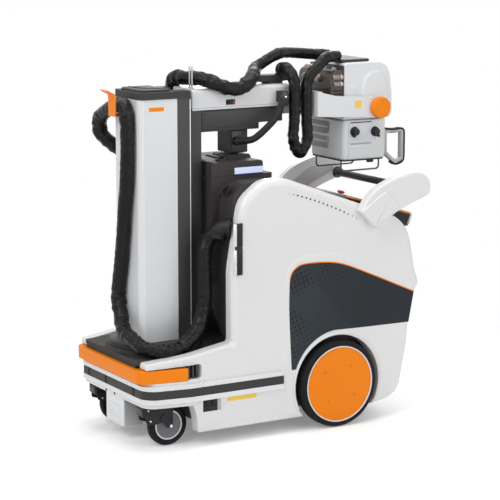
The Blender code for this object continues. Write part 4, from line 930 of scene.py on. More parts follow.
def wheel_arch(rows, radius, steps=72):
    """Fills in the wheel arch between the outline's last two points."""
    points = rounded(rows, 14)
    rear, front = points[-2] - WHEEL, points[-1] - WHEEL
    first, last = math.atan2(rear.y, rear.x), math.atan2(front.y, front.x) % math.tau
    arc = [WHEEL + radius * Vector((math.cos(a), math.sin(a)))
           for a in (first + (last - first) * k / steps for k in range(1, steps))]
    return points[:-1] + arc + points[-1:]


def shell_roll(y, z):
    """How wide the shell's edge is rolled over: widest up the front and over the top."""
    if (Vector((y, z)) - WHEEL).length < ARCH_R + 0.004:
        return 0.005
    if z < 0.3 and y < 0.35:
        return 0.003
    if y < -0.27:
        return 0.01 if z > 0.322 else 0.003
    if y > 0.5 and z < 0.56 or y > 0.3 and z < 0.31:
        return 0.009
    return 0.027


def side_shells():
    outline = wheel_arch(SHELL_SIDE, ARCH_R)
    for name, side in SIDES:
        bm = moulded(outline, FACE - 0.05, FACE, shell_roll, 0.022, side, ROLLED)
        bmesh.ops.bisect_plane(bm, geom=[*bm.verts, *bm.edges, *bm.faces], plane_co=(0, -0.44, 0),
                               plane_no=(0, 1, 0))
        for vert in bm.verts:
            vert.co.x -= side * 0.16 * max(0.0, -0.44 - vert.co.y)
        shell = finish(bm, f"side_shell_{name}", WHITE, "base", 40)
        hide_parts(f"side_panel_{name}")

        fender = moulded(wheel_arch(FENDER, ARCH_R + 0.012), FACE - 0.004, FACE + 0.0016,
                         lambda y, z: 0.004 if z < 0.36 and y > 0 or y > 0.5 else 0.016, 0.0016, side,
                         SOFT_STEP)
        finish(fender, f"fender_{name}", WHITE, "base", 60)

        arc = [(side * (FACE - 0.0015), WHEEL.x + (ARCH_R + 0.0055) * math.cos(math.radians(a)),
                WHEEL.y + (ARCH_R + 0.0055) * math.sin(math.radians(a))) for a in range(-27, 213, 8)]
        finish(pipe(arc, 0.0062, 14), f"arch_lip_{name}", WHITE, "base", 60)

        film_edge, crest = film_outline()
        film = plate(film_edge, "X", side * (FACE + 0.0006), side * (FACE + 0.0021), 0.0003, 1)
        inlay = finish(film, f"slate_film_{name}", GRAPHIC, "base", 40)
        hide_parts(f"side_inlay_{name}")
        line = [(side * (FACE + 0.0014), p.x, p.y) for p in crest]
        finish(pipe(line, 0.0023, 10, 0.005), f"film_line_{name}", ORANGE, "base", 60)

        dots = bmesh.new()
        for k in range(17):
            t = k / 16
            size = 0.0036 * (0.45 if k in (0, 16) else 0.65 if k in (1, 15) else 0.85 if k == 14 else 1)
            place = (side * (FACE + 0.0004), -0.015 + 0.304 * t, 0.927 - 0.118 * t + 0.0376 * t * (1 - t))
            add(dots, turned([(0, 0.0005), (size * 0.8, 0.0005), (size, 0.0), (0, 0.0)], place,
                             (side, 0, 0), 16))
        finish(dots, f"vent_dots_{name}", BLACK, "base")


WING_SIDE = ((0.29, 0.84), (0.318, 0.884), (0.358, 0.919), (0.411, 0.945), (0.47, 0.963), (0.53, 0.973),
             (0.575, 0.966), (0.606, 0.94), (0.613, 0.908), (0.608, 0.885), (0.588, 0.873), (0.515, 0.847),
             (0.445, 0.817),
             (0.368, 0.768))
WING_FOOT = ((0.288, 0.838, 0.006), (0.4, 0.912, 0.03), (0.426, 0.894, 0.006), (0.46, 0.838, 0.01),
             (0.353, 0.774, 0.006))


def wings():
    for name, side in SIDES:
        line = [p.yz for p in smooth_line([(0, y, z) for y, z in WING_SIDE], 0.006)]
        arm = moulded(line, FACE + 0.0004, FACE + 0.0347, lambda y, z: 0.009, 0.009, side, ROLLED)
        arm = finish(arm, f"handle_arm_{name}", WHITE, "base", 40)
        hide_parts(f"wing_{name}")
        foot = moulded(rounded(WING_FOOT, 8), FACE + 0.012, FACE + 0.04, lambda y, z: 0.005, 0.004, side,
                       ROLLED)
        finish(foot, f"handle_foot_{name}", WHITE, "base", 40)
        inner = plate(rounded(((0.352, 0.862, 0.01), (0.452, 0.926, 0.06), (0.56, 0.934, 0.03),
                               (0.575, 0.905, 0.01),
                               (0.47, 0.862, 0.02), (0.385, 0.815, 0.01)), 6), "X", side * (FACE - 0.004),
                      side * (FACE + 0.0003), 0.0015)
        finish(inner, f"arm_lining_{name}", SOFT_GREY, "base")
        collar = turned([(0.015, 0.02), (0.0185, 0.019), (0.019, 0.004), (0.024, 0.001), (0.024, 0.0),
                         (0.015, 0.0)],
                        (side * (FACE - 0.0006), 0.5925, 0.893), (-side, 0, 0), 36)
        finish(collar, f"bar_collar_{name}", PROFILE, "base")


def drive_wheels():
    """Tyres with round shoulders and ribs, a white trim ring, and a pressed disc with four dimples, their
    hollows painted a darker orange as shade.
    """
    for name, side in SIDES:
        body = f"wheel_{name}"
        centre = (side * 0.294, WHEEL.x, WHEEL.y)
        half = 0.028
        rows = [(0.1492, half - 0.002), (0.1515, half)]
        rows += [(0.156 + 0.014 * math.sin(math.radians(a)),
                  half - 0.014 + 0.014 * math.cos(math.radians(a)))
                 for a in range(0, 91, 15)]
        rows += [(0.17, 0.007), (0.1688, 0.0058), (0.1688, 0.0036), (0.17, 0.0024)]
        rows += [(r, -h) for r, h in reversed(rows)]
        rows.append(rows[0])
        tyre = finish(turned(rows, centre, (side, 0, 0), 96), f"tyre_{name}", TYRE, body, 40)
        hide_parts(f"drive_tyre_{name}")
        ring = turned([(0.144, half - 0.0024), (0.1452, half - 0.0006), (0.1478, half - 0.0004),
                       (0.1494, half - 0.0014),
                       (0.1494, half - 0.006), (0.144, half - 0.006), (0.144, half - 0.0024)],
                      centre, (side, 0, 0), 96)
        finish(ring, f"trim_ring_{name}", ENAMEL, body, 40)
        disc = [(0, half - 0.0022), (0.03, half - 0.002), (0.12, half - 0.002), (0.14, half - 0.0028),
                (0.1442, half - 0.004), (0.1442, half - 0.012), (0.1488, half - 0.012),
                (0.1488, -half + 0.004),
                (0.0135, -half + 0.004), (0.0135, half - 0.011), (0, half - 0.011)]
        hub = turned(disc, centre, (side, 0, 0), 96)
        hub = finish(hub, f"wheel_disc_{name}", ORANGE, body, 40)
        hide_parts(f"drive_hub_{name}")
        # The dimples take the darker orange as painted shade of their hollows.
        dimples = bmesh.new()
        for angle in (45, 135, 225, 315):
            y = WHEEL.x + 0.084 * math.cos(math.radians(angle + 8))
            z = WHEEL.y + 0.084 * math.sin(math.radians(angle + 8))
            add(dimples, turned([(0, -0.0004), (0.003, -0.0002), (0.0046, 0.0006), (0.0062, 0.0003),
                                 (0.007, -0.0004),
                             (0.007, -0.001), (0, -0.001)],
                                (side * (0.294 + half - 0.002), y, z), (side, 0, 0), 24))
        finish(dimples, f"disc_dimples_{name}", DIMPLE_SHADE, body, 40)


def caster_details():
    for name, side in SIDES:
        x, y, z = side * 0.2, -0.4875, 0.079
        body = f"caster_{name}"
        half = 0.016
        rows = [(0.0565, half - 0.0015), (0.06, half - 0.0002)]
        rows += [(0.069 + 0.01 * math.sin(math.radians(a)), half - 0.01 + 0.01 * math.cos(math.radians(a)))
                 for a in range(0, 91, 15)]
        rows += [(r, -h) for r, h in reversed(rows)]
        rows.append(rows[0])
        tread = finish(turned(rows, (x, y, z), (side, 0, 0), 64), f"caster_tyre_{name}", TYRE,
                       f"caster_wheel_{name}", 40)
        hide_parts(f"caster_wheel_{name}")
        rim = bmesh.new()
        for face in (1, -1):
            add(rim, turned([(0.0505, half - 0.003), (0.0515, half - 0.0006), (0.056, half - 0.0006),
                             (0.0568, half - 0.003), (0.0568, 0.0), (0.0505, 0.0), (0.0505, half - 0.003)],
                            (x, y, z), (side * face, 0, 0), 64))
        finish(rim, f"caster_ring_{name}", SILVER, f"caster_wheel_{name}", 40)
        disc = bmesh.new()
        for face in (1, -1):
            add(disc, turned([(0.0064, half - 0.002), (0.016, half - 0.002), (0.02, half - 0.0045),
                              (0.044, half - 0.006),
                              (0.05, half - 0.0028), (0.0508, half - 0.0035), (0.0508, 0), (0.0064, 0),
                              (0.0064, half - 0.002)], (x, y, z), (side * face, 0, 0), 64))
        finish(disc, f"caster_disc_{name}", DISC_GREY, f"caster_wheel_{name}", 40)

        cheek = rounded(((-0.594, 0.163, 0.003), (-0.47, 0.163, 0.004), (-0.478, 0.12, 0.014),
                         (-0.506, 0.098, 0.02), (-0.556, 0.09, 0.01), (-0.59, 0.102, 0.006)), 6)
        housing = bmesh.new()
        for face in (-1, 1):
            edge = sorted((x + face * 0.0258, x + face * 0.0288))
            add(housing, plate(cheek, "X", edge[0], edge[1], 0.0008))
            add(housing, ribbon(((-0.523, 0.121), (-0.505, 0.101), (-0.4875, 0.079)),
                                sorted((x + face * 0.0288, x + face * 0.0325)), 0.026, 0.001))
        add(housing, block((x - 0.03, x + 0.03), (-0.601, -0.572), (0.122, 0.1625), 0.006, 1))
        finish(housing, f"caster_housing_{name}", BLACK, body)
        facet = plate(rounded(((x - 0.0215, 0.131, 0.003), (x + 0.0215, 0.131, 0.003),
                               (x + 0.0215, 0.154, 0.003),
                               (x - 0.0215, 0.154, 0.003)), 4), "Y", -0.602, -0.6005, 0.0006)
        finish(facet, f"caster_pad_{name}", PROFILE, body)
        bolts = bmesh.new()
        for face in (-1, 1):
            add(bolts, turned([(0, 0.0062), (0.003, 0.006), (0.0062, 0.0044), (0.0072, 0.002),
                               (0.0078, 0.0), (0, 0)],
                              (x + face * 0.0325, y, z), (face, 0, 0), 6))
            for v, w in ((-0.58, 0.148), (-0.49, 0.15), (-0.57, 0.106)):
                add(bolts, turned([(0, 0.0022), (0.003, 0.0018), (0.0042, 0.0), (0, 0)],
                                  (x + face * 0.0288, v, w), (face, 0, 0), 6))
        finish(bolts, f"caster_bolts_{name}", CHROME, body, 20)


def nose_details():
    joints = bmesh.new()
    for x in (-0.196, -0.052, 0.176):
        add(joints, block((x - 0.006, x + 0.006), (-0.6194, -0.6165), (0.2005, 0.2315), 0.001))
    finish(joints, "rail_joints", BLACK, "base")
    ribs = bmesh.new()
    for _, side in SIDES:
        for y in (-0.44, -0.422, -0.406):
            add(ribs, block((side * 0.262, side * 0.288), (y - 0.003, y + 0.003), (0.2655, 0.318), 0.0012))
    finish(ribs, "slot_ribs", BROWN, "base")
    # Painted shade: black discs stand in for the shade inside the two holes in the front rim.
    holes = bmesh.new()
    for x in (-0.058, 0.012):
        add(holes, turned([(0, 0.0002), (0.0042, 0.0002), (0.0056, 0.0012), (0.0064, 0.0), (0.0064, -0.002),
                           (0, -0.002)],
                          (x, -0.6095, 0.1724), (0, -1, 0), 24))
    finish(holes, "rim_hole_shades", BLACK, "base")
    window = plate(rounded(oblong((-0.046, 0.046), (0.082, 0.132), 0.006), 5),
                   "Y", -0.6062, -0.6046, 0.0006)
    finish(window, "sensor_window", SILVER, "base")
    for name, side in SIDES:
        sockets = bmesh.new()
        edge = span(side, FACE - 0.004, FACE + 0.0022)
        add(sockets, block(edge, (-0.387, -0.326), (0.134, 0.193), 0.0015))
        finish(sockets, f"socket_plate_{name}", BLACK, "base")
        toggles = bmesh.new()
        for y in (-0.3715, -0.342):
            add(toggles, tilted(block(span(side, FACE + 0.002, FACE + 0.006), (y - 0.0095, y + 0.0095),
                                      (0.151, 0.176), 0.002), side * 7, (side * FACE, y, 0.1635),
                                      (0, 1, 0)))
        finish(toggles, f"toggles_{name}", RUBBER, "base")
        strip = block(span(side, FACE - 0.002, FACE + 0.0012), (-0.324, -0.31), (0.134, 0.193), 0.0006)
        finish(strip, f"socket_strip_{name}", SOFT_GREY, "base")
        screws = bmesh.new()
        for z in (0.179, 0.152):
            add(screws, dish(0.0032, (side * (FACE + 0.0006), -0.301, z), (side, 0, 0), 0.0006))
        finish(screws, f"skirt_screws_{name}", CHROME, "base")
        label = plate(rounded(oblong((-0.283, -0.156), (0.1615, 0.1785), 0.001), 2), "X",
                      side * (FACE - 0.001), side * (FACE + 0.0005))
        finish(label, f"skirt_label_{name}", YELLOW, "base")


def bumper_bow():
    """The orange bow round the nose, with round edges."""
    rows = ((-0.2998, -0.4473, 0.004), (-0.2698, -0.635, 0.045), (0.2698, -0.635, 0.045),
            (0.2998, -0.4473, 0.004),
            (0.2488, -0.4473, 0.004), (0.2243, -0.6008, 0.019), (-0.2243, -0.6008, 0.019),
            (-0.2488, -0.4473, 0.004))
    bow = finish(plate(rounded(rows, 12), "Z", 0.26, 0.3085, 0.015, 6), "nose_bow", ORANGE, "base",
                 40)
    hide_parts("bumper")


def column_details():
    crown = plate(rounded(oblong((-0.088, 0.088), (-0.526, -0.399), (0.03, 0.03, 0.01, 0.01)), 8), "Z",
                  1.3105, 1.32, 0.006, 4)
    finish(crown, "cap_crown", CHARCOAL, "column")
    line = [(0.066, -0.402, 1.32), (0.052, -0.44, 1.3202), (0.02, -0.474, 1.3204), (-0.03, -0.49, 1.3204),
            (-0.078, -0.49, 1.3195)]
    finish(pipe(line, 0.003, 10), "cap_ridge_0", PROFILE, "column", 60)
    lip = plate(rounded(oblong((-0.1065, -0.052), (-0.386, -0.377), (0.004, 0.004, 0.003, 0.003)), 4), "Z",
                1.29, 1.314, 0.002)
    add(lip, plate(rounded(oblong((0.052, 0.1065), (-0.386, -0.377), (0.004, 0.004, 0.003, 0.003)), 4), "Z",
                   1.29, 1.314, 0.002))
    finish(lip, "cap_lips", CHARCOAL, "column")
    for name, side in SIDES:
        tag = plate(rounded(oblong((-0.5, -0.438), (1.242, 1.256), 0.001), 2), "X", side * 0.103,
                    side * 0.1046)
        finish(tag, f"column_tag_{name}", ORANGE, "column")
        seam = block(span(side, 0.1025, 0.1043), (-0.3838, -0.3824), (0.38, 1.284), 0.0004)
        finish(seam, f"column_seam_{name}", SILVER, "column")
        screws = bmesh.new()
        for y in (-0.512, -0.498):
            add(screws, dish(0.0022, (side * 0.104, y, 1.279), (side, 0, 0), 0.0004, 12))
        finish(screws, f"column_screws_{name}", CHROME, "column")
        gibs = block(span(side, 0.0985, 0.1043), (-0.329, -0.3255), (0.39, 1.28), 0.0006)
        finish(gibs, f"rail_gib_{name}", SILVER, "column")
    # Painted highlight: thin pale strips on the chamfered column corners stand in for the light these edges
    # catch.
    edge = bmesh.new()
    for _, side in SIDES:
        add(edge, plate([Vector((side * 0.0868, -0.5412)), Vector((side * 0.1047, -0.5233)),
                         Vector((side * 0.104, -0.5226)),
                         Vector((side * 0.0861, -0.5405))], "Z", 0.375, 1.284, 0.0))
    finish(edge, "column_chamfer_highlights", CHAMFER_HIGHLIGHT, "column")
    rings = bmesh.new()
    for z, r in ((0.354, 0.174), (0.3625, 0.1698)):
        add(rings, turned([(r - 0.006, 0), (r - 0.001, 0.0), (r, 0.0014), (r, 0.0034), (r - 0.001, 0.0048),
                           (r - 0.006, 0.0048), (r - 0.006, 0)], (0, COLUMN_Y, z), (0, 0, 1), 96))
    finish(rings, "plinth_rings", CHARCOAL, "column", 60)
    skirt = turned([(0.168, 0.337), (0.1815, 0.3372), (0.1822, 0.34), (0.1805, 0.344), (0.168, 0.347),
                    (0.168, 0.337)],
                   (0, COLUMN_Y, 0), (0, 0, 1), 96)
    finish(skirt, "plinth_skirt", MAT, "base", 60)
    rods = bmesh.new()
    for x in (0.044, 0.063):
        add(rods, rod(0.0034, (x, -0.2965, 1.308), (x, -0.2965, 1.397), 16, 0.0012))
        add(rods, turned([(0.0034, 0.006), (0.0062, 0.005), (0.007, 0.0), (0.0034, 0.0)],
                         (x, -0.2965, 1.313), (0, 0, 1), 20))
    finish(rods, "guide_pins", PINK_GREY, "mast", 50)


def boom_details():
    pad = plate(rounded(oblong((-0.158, -0.118), (1.247, 1.267), 0.004), 5),
                "X", 0.0752, 0.0772, 0.0006)
    finish(pad, "lift_switch_plate", BLACK, "mast")
    key = bmesh.new()
    add(key, tilted(block((0.0765, 0.0845), (-0.15, -0.132), (1.25, 1.264), 0.003), -8,
                    (0.08, -0.14, 1.257), (0, 0, 1)))
    finish(key, "lift_switch", BLACK, "mast")
    stop = turned([(0, 0.004), (0.004, 0.0038), (0.0058, 0.0024), (0.0062, 0.0), (0, 0)],
                  (0.0772, -0.1245, 1.256), (1, 0, 0), 24)
    finish(stop, "stop_button", RED, "mast", 50)
    for name, side in SIDES:
        seam = block(span(side, 0.0745, 0.0763), (-0.3, 0.18), (1.2395, 1.2404), 0.0002)
        finish(seam, f"boom_seam_{name}", SEAM, "mast")
        rib = plate(rounded(((-0.256, 1.16, 0.004), (0.092, 1.176, 0.004), (0.092, 1.224, 0.004),
                             (-0.256, 1.224, 0.004)), 4),
                    "X", side * 0.0655, side * 0.0675, 0.0012)
        finish(rib, f"carriage_panel_{name}", PROFILE, "mast")
        bolts = bmesh.new()
        for y, z in ((-0.245, 1.172), (-0.245, 1.214), (0.08, 1.186), (0.08, 1.214), (-0.08, 1.206)):
            add(bolts, dish(0.0034, (side * 0.0675, y, z), (side, 0, 0), 0.0006, 16))
        finish(bolts, f"carriage_bolts_{name}", BLACK, "mast")
    ends = bmesh.new()
    add(ends, plate(rounded(oblong((-0.0715, 0.0715), (1.236, 1.309), (0.006, 0.006, 0.012, 0.012)), 6),
                    "Y", -0.3045, -0.302, 0.0012))
    finish(ends, "boom_end_cap", ENAMEL, "mast")
    grip = bmesh.new()
    line = ((0.072, -0.1, 1.104), (0.112, -0.06, 1.115), (0.118, -0.01, 1.15), (0.117, 0.04, 1.195),
            (0.108, 0.068, 1.24))
    rows = frames(smooth_line(line, 0.004))
    handle = sweep(rows, 24, lambda row, angle: 0.0132 - (0.0012 if math.cos(6 * angle) > 0.72 else 0.0))
    finish(handle, "grip_sleeve", RUBBER, "mast", 70)
    for place, axis, reach in (((0.066, -0.1035, 1.105), (1, 0, 0), 0.012),
                               ((0.111, 0.08, 1.25), (0.2, 0.3, 1), 0.014)):
        add(grip, turned([(0.0, reach), (0.0125, reach), (0.015, reach - 0.003), (0.0165, 0.002),
                          (0.0165, -reach), (0.0, -reach)],
                         place, axis, 32))
    finish(grip, "grip_ends", BLACK, "mast", 50)
    boss = turned([(0, 0.01), (0.013, 0.0095), (0.0165, 0.0065), (0.0172, -0.006), (0, -0.006)],
                  (0.1115, 0.08, 1.269), (1, 0, 0), 40)
    finish(boss, "grip_boss", PROFILE, "mast", 50)
    screw = turned([(0, 0.0012), (0.0038, 0.0012), (0.0048, 0), (0, 0)], (0.1216, 0.08, 1.269), (1, 0, 0),
                   6)
    finish(screw, "grip_screw", CHROME, "mast", 20)
    collar = bmesh.new()
    rings = [(0, 0.0), (0.055, 0.0), (0.0565, 0.0012), (0.0565, 0.006), (0.0545, 0.007), (0.0545, 0.0092),
             (0.0572, 0.01),
             (0.0572, 0.015), (0.0545, 0.016), (0.0545, 0.0182), (0.056, 0.019), (0.056, 0.0246),
             (0, 0.0246)]
    add(collar, turned(rings, (0, 0.1835, BOOM_Z), (0, 1, 0), 80))
    collar = finish(collar, "roll_collar", CHROME, "boom", 30)
    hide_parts("boom_collar")
    bands = bmesh.new()
    for y in (0.1912, 0.2003):
        add(bands, turned([(0.054, 0), (0.0562, 0.0), (0.0562, 0.0018), (0.054, 0.0018), (0.054, 0)],
                          (0, y, BOOM_Z), (0, 1, 0), 80))
    finish(bands, "roll_seals", BLACK, "boom", 50)
    marks = bmesh.new()
    for angle in (35, 52, 128, 232, 308):
        place = (0.057 * math.cos(math.radians(angle)), 0.196,
                 BOOM_Z + 0.057 * math.sin(math.radians(angle)))
        add(marks, tilted(block((place[0] - 0.002, place[0] + 0.002), (0.1938, 0.1982),
                                (place[2] - 0.006, place[2] + 0.006), 0.0006),
                          -angle, place, (0, 1, 0)))
    finish(marks, "detent_marks", ORANGE, "boom")
    hub = turned([(0, 0), (0.05, 0.0), (0.052, 0.003), (0.052, 0.01), (0, 0.01)], (0, 0.218, BOOM_Z),
                 (0, 1, 0), 64)
    finish(hub, "fork_boss", SILVER, "yoke", 40)


def clip_jaw():
    """The black jaw on the boom's clip that the loop leaves from."""
    jaw = turned([(0, 0.0), (0.021, 0.0), (0.024, 0.0012), (0.025, 0.004), (0.025, 0.015), (0.024, 0.0178),
                  (0.021, 0.019), (0, 0.019), (0, 0.0)], (0.027, 0.109, 1.3705), (0.95, 0.2, -0.2), 40)
    add(jaw, block((0.012, 0.04), (0.096, 0.124), (1.344, 1.352), 0.002))
    finish(jaw, "clip_jaw", BLACK, "mast", 40)


def fork_details():
    knobs = rod(0.01, (-0.16, TILT_Y, TILT_Z), (0.16, TILT_Y, TILT_Z), 32)
    for _, side in SIDES:
        rows = [(0, 0.0236), (0.0022, 0.0236), (0.003, 0.023), (0.027, 0.0236), (0.0285, 0.0226),
                (0.031, 0.0226),
                (0.0325, 0.0237), (0.0368, 0.0235), (0.0405, 0.0215), (0.042, 0.018), (0.042, 0.015),
                (0.0412, 0.0142),
                (0.0412, 0.013), (0.042, 0.0122), (0.042, 0.004), (0.04, 0.0), (0, 0)]
        add(knobs, turned(rows, (side * 0.1464, TILT_Y, TILT_Z), (side, 0, 0), 72))
    piece = finish(knobs, "tilt_knobs", ORANGE, "yoke", 35)
    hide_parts("tilt_shaft")
    for name, side in SIDES:
        label = plate(rounded(oblong((0.379, 0.41), (1.212, 1.24), 0.005), 5),
                       "X", side * 0.1455, side * 0.1466, 0.0002, 1)
        finish(label, f"fork_label_{name}", YELLOW, "yoke")
        stem = turned([(0, 0.0016), (0.0026, 0.0014), (0.0042, 0.0), (0, 0)], (side * 0.146, 0.456, 1.248),
                      (side, 0, 0), 24)
        finish(stem, f"fork_screw_{name}", CHROME, "yoke", 40)


TUBE_SIDE = ((0.3425, 1.164, 0.01), (0.344, 1.386, 0.022), (0.555, 1.387, 0.086), (0.5725, 1.26, 0.12),
             (0.5725, 1.164, 0.03))
DOME = ((0.42, 1.18, 0.01), (0.42, 1.272, 0.03), (0.432, 1.326, 0.03), (0.469, 1.358, 0.035),
        (0.516, 1.358, 0.035), (0.546, 1.325, 0.05), (0.557, 1.26, 0.05), (0.557, 1.18, 0.01))
BUMP = ((0.36, 1.18, 0.006), (0.361, 1.301, 0.012), (0.404, 1.303, 0.016), (0.412, 1.26, 0.03),
        (0.412, 1.18, 0.006))


def head_details():
    tube = plate(rounded(TUBE_SIDE, 14), "X", -0.1205, 0.1205)
    ease(tube, 0.0085, 6, 60)
    cover = finish(tube, "tube_cover", ENAMEL, "head", 50)
    weighted(cover)
    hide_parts("tube_housing")
    for name, side in SIDES:
        dome = moulded(rounded(DOME, 8), 0.116, 0.1252, lambda y, z: 0.015, 0.0056, side, SOFT_STEP)
        finish(dome, f"tube_dome_{name}", ENAMEL, "head", 60)
        bump = moulded(rounded(BUMP, 8), 0.116, 0.1228, lambda y, z: 0.0085, 0.003, side, SOFT_STEP)
        finish(bump, f"tube_relief_{name}", ENAMEL, "head", 60)
    top = plate(rounded(oblong((-0.098, 0.098), (0.35, 0.486), (0.012, 0.012, 0.026, 0.026)), 7),
                "Z", 1.384, 1.3975, 0.0045, 4)
    finish(top, "tube_top_cover", CHARCOAL, "head")
    band = plate(rounded(oblong((-0.121, 0.121), (0.3415, 0.345), (0.004, 0.004, 0.001, 0.001)), 3),
                 "Z", 1.175, 1.376, 0.001)
    finish(band, "tube_front_seam", PROFILE, "head")
    pipes = bmesh.new()
    gold = bmesh.new()
    for z, y0, y1 in ((1.332, 0.295, 0.342), (1.305, 0.299, 0.342)):
        for _, side in SIDES:
            add(pipes, turned([(0, 0), (0.0098, 0.0), (0.0112, 0.0014), (0.0112, y1 - y0 - 0.002),
                               (0.0098, y1 - y0), (0, y1 - y0)],
                              (side * 0.113, y0, z), (0, 1, 0), 32))
            add(gold, turned([(0.009, 0), (0.0122, 0.0), (0.0126, 0.0012), (0.0126, 0.004),
                              (0.0118, 0.0052), (0.009, 0.0052),
                              (0.009, 0)], (side * 0.113, y1 - 0.012, z), (0, 1, 0), 32))
    for x, z in ((-0.062, 1.325), (0.03, 1.325)):
        add(pipes, turned([(0, 0.016), (0.012, 0.016), (0.0142, 0.014), (0.0142, 0.0), (0, 0)],
                          (x, 0.2885, z), (0, -1, 0), 32))
        add(gold, turned([(0.014, 0.01), (0.0158, 0.0096), (0.016, 0.003), (0.014, 0.002), (0.014, 0.01)],
                         (x, 0.2885, z), (0, -1, 0), 32))
    wide = 0.2
    add(pipes, turned([(0, 0), (0.011, 0.0), (0.0128, 0.002), (0.0128, wide - 0.002), (0.011, wide),
                       (0, wide)],
                      (-wide / 2, 0.312, 1.358), (1, 0, 0), 32))
    finish(pipes, "tube_connectors", WORN_GREY, "head", 35)
    finish(gold, "connector_rings", GOLD, "head", 35)
    slots = bmesh.new()
    for _, side in SIDES:
        for z in (1.277, 1.264):
            add(slots, block(span(side, 0.116, 0.1178), (0.296, 0.336), (z, z + 0.006), 0.0012))
    finish(slots, "tube_slots", BLACK, "head")
    face = plate(rounded(oblong((-0.104, 0.104), (1.2, 1.296), 0.01), 6),
                 "Y", 0.285, 0.2882, 0.0018)
    finish(face, "tube_end_panel", BROWN, "head")


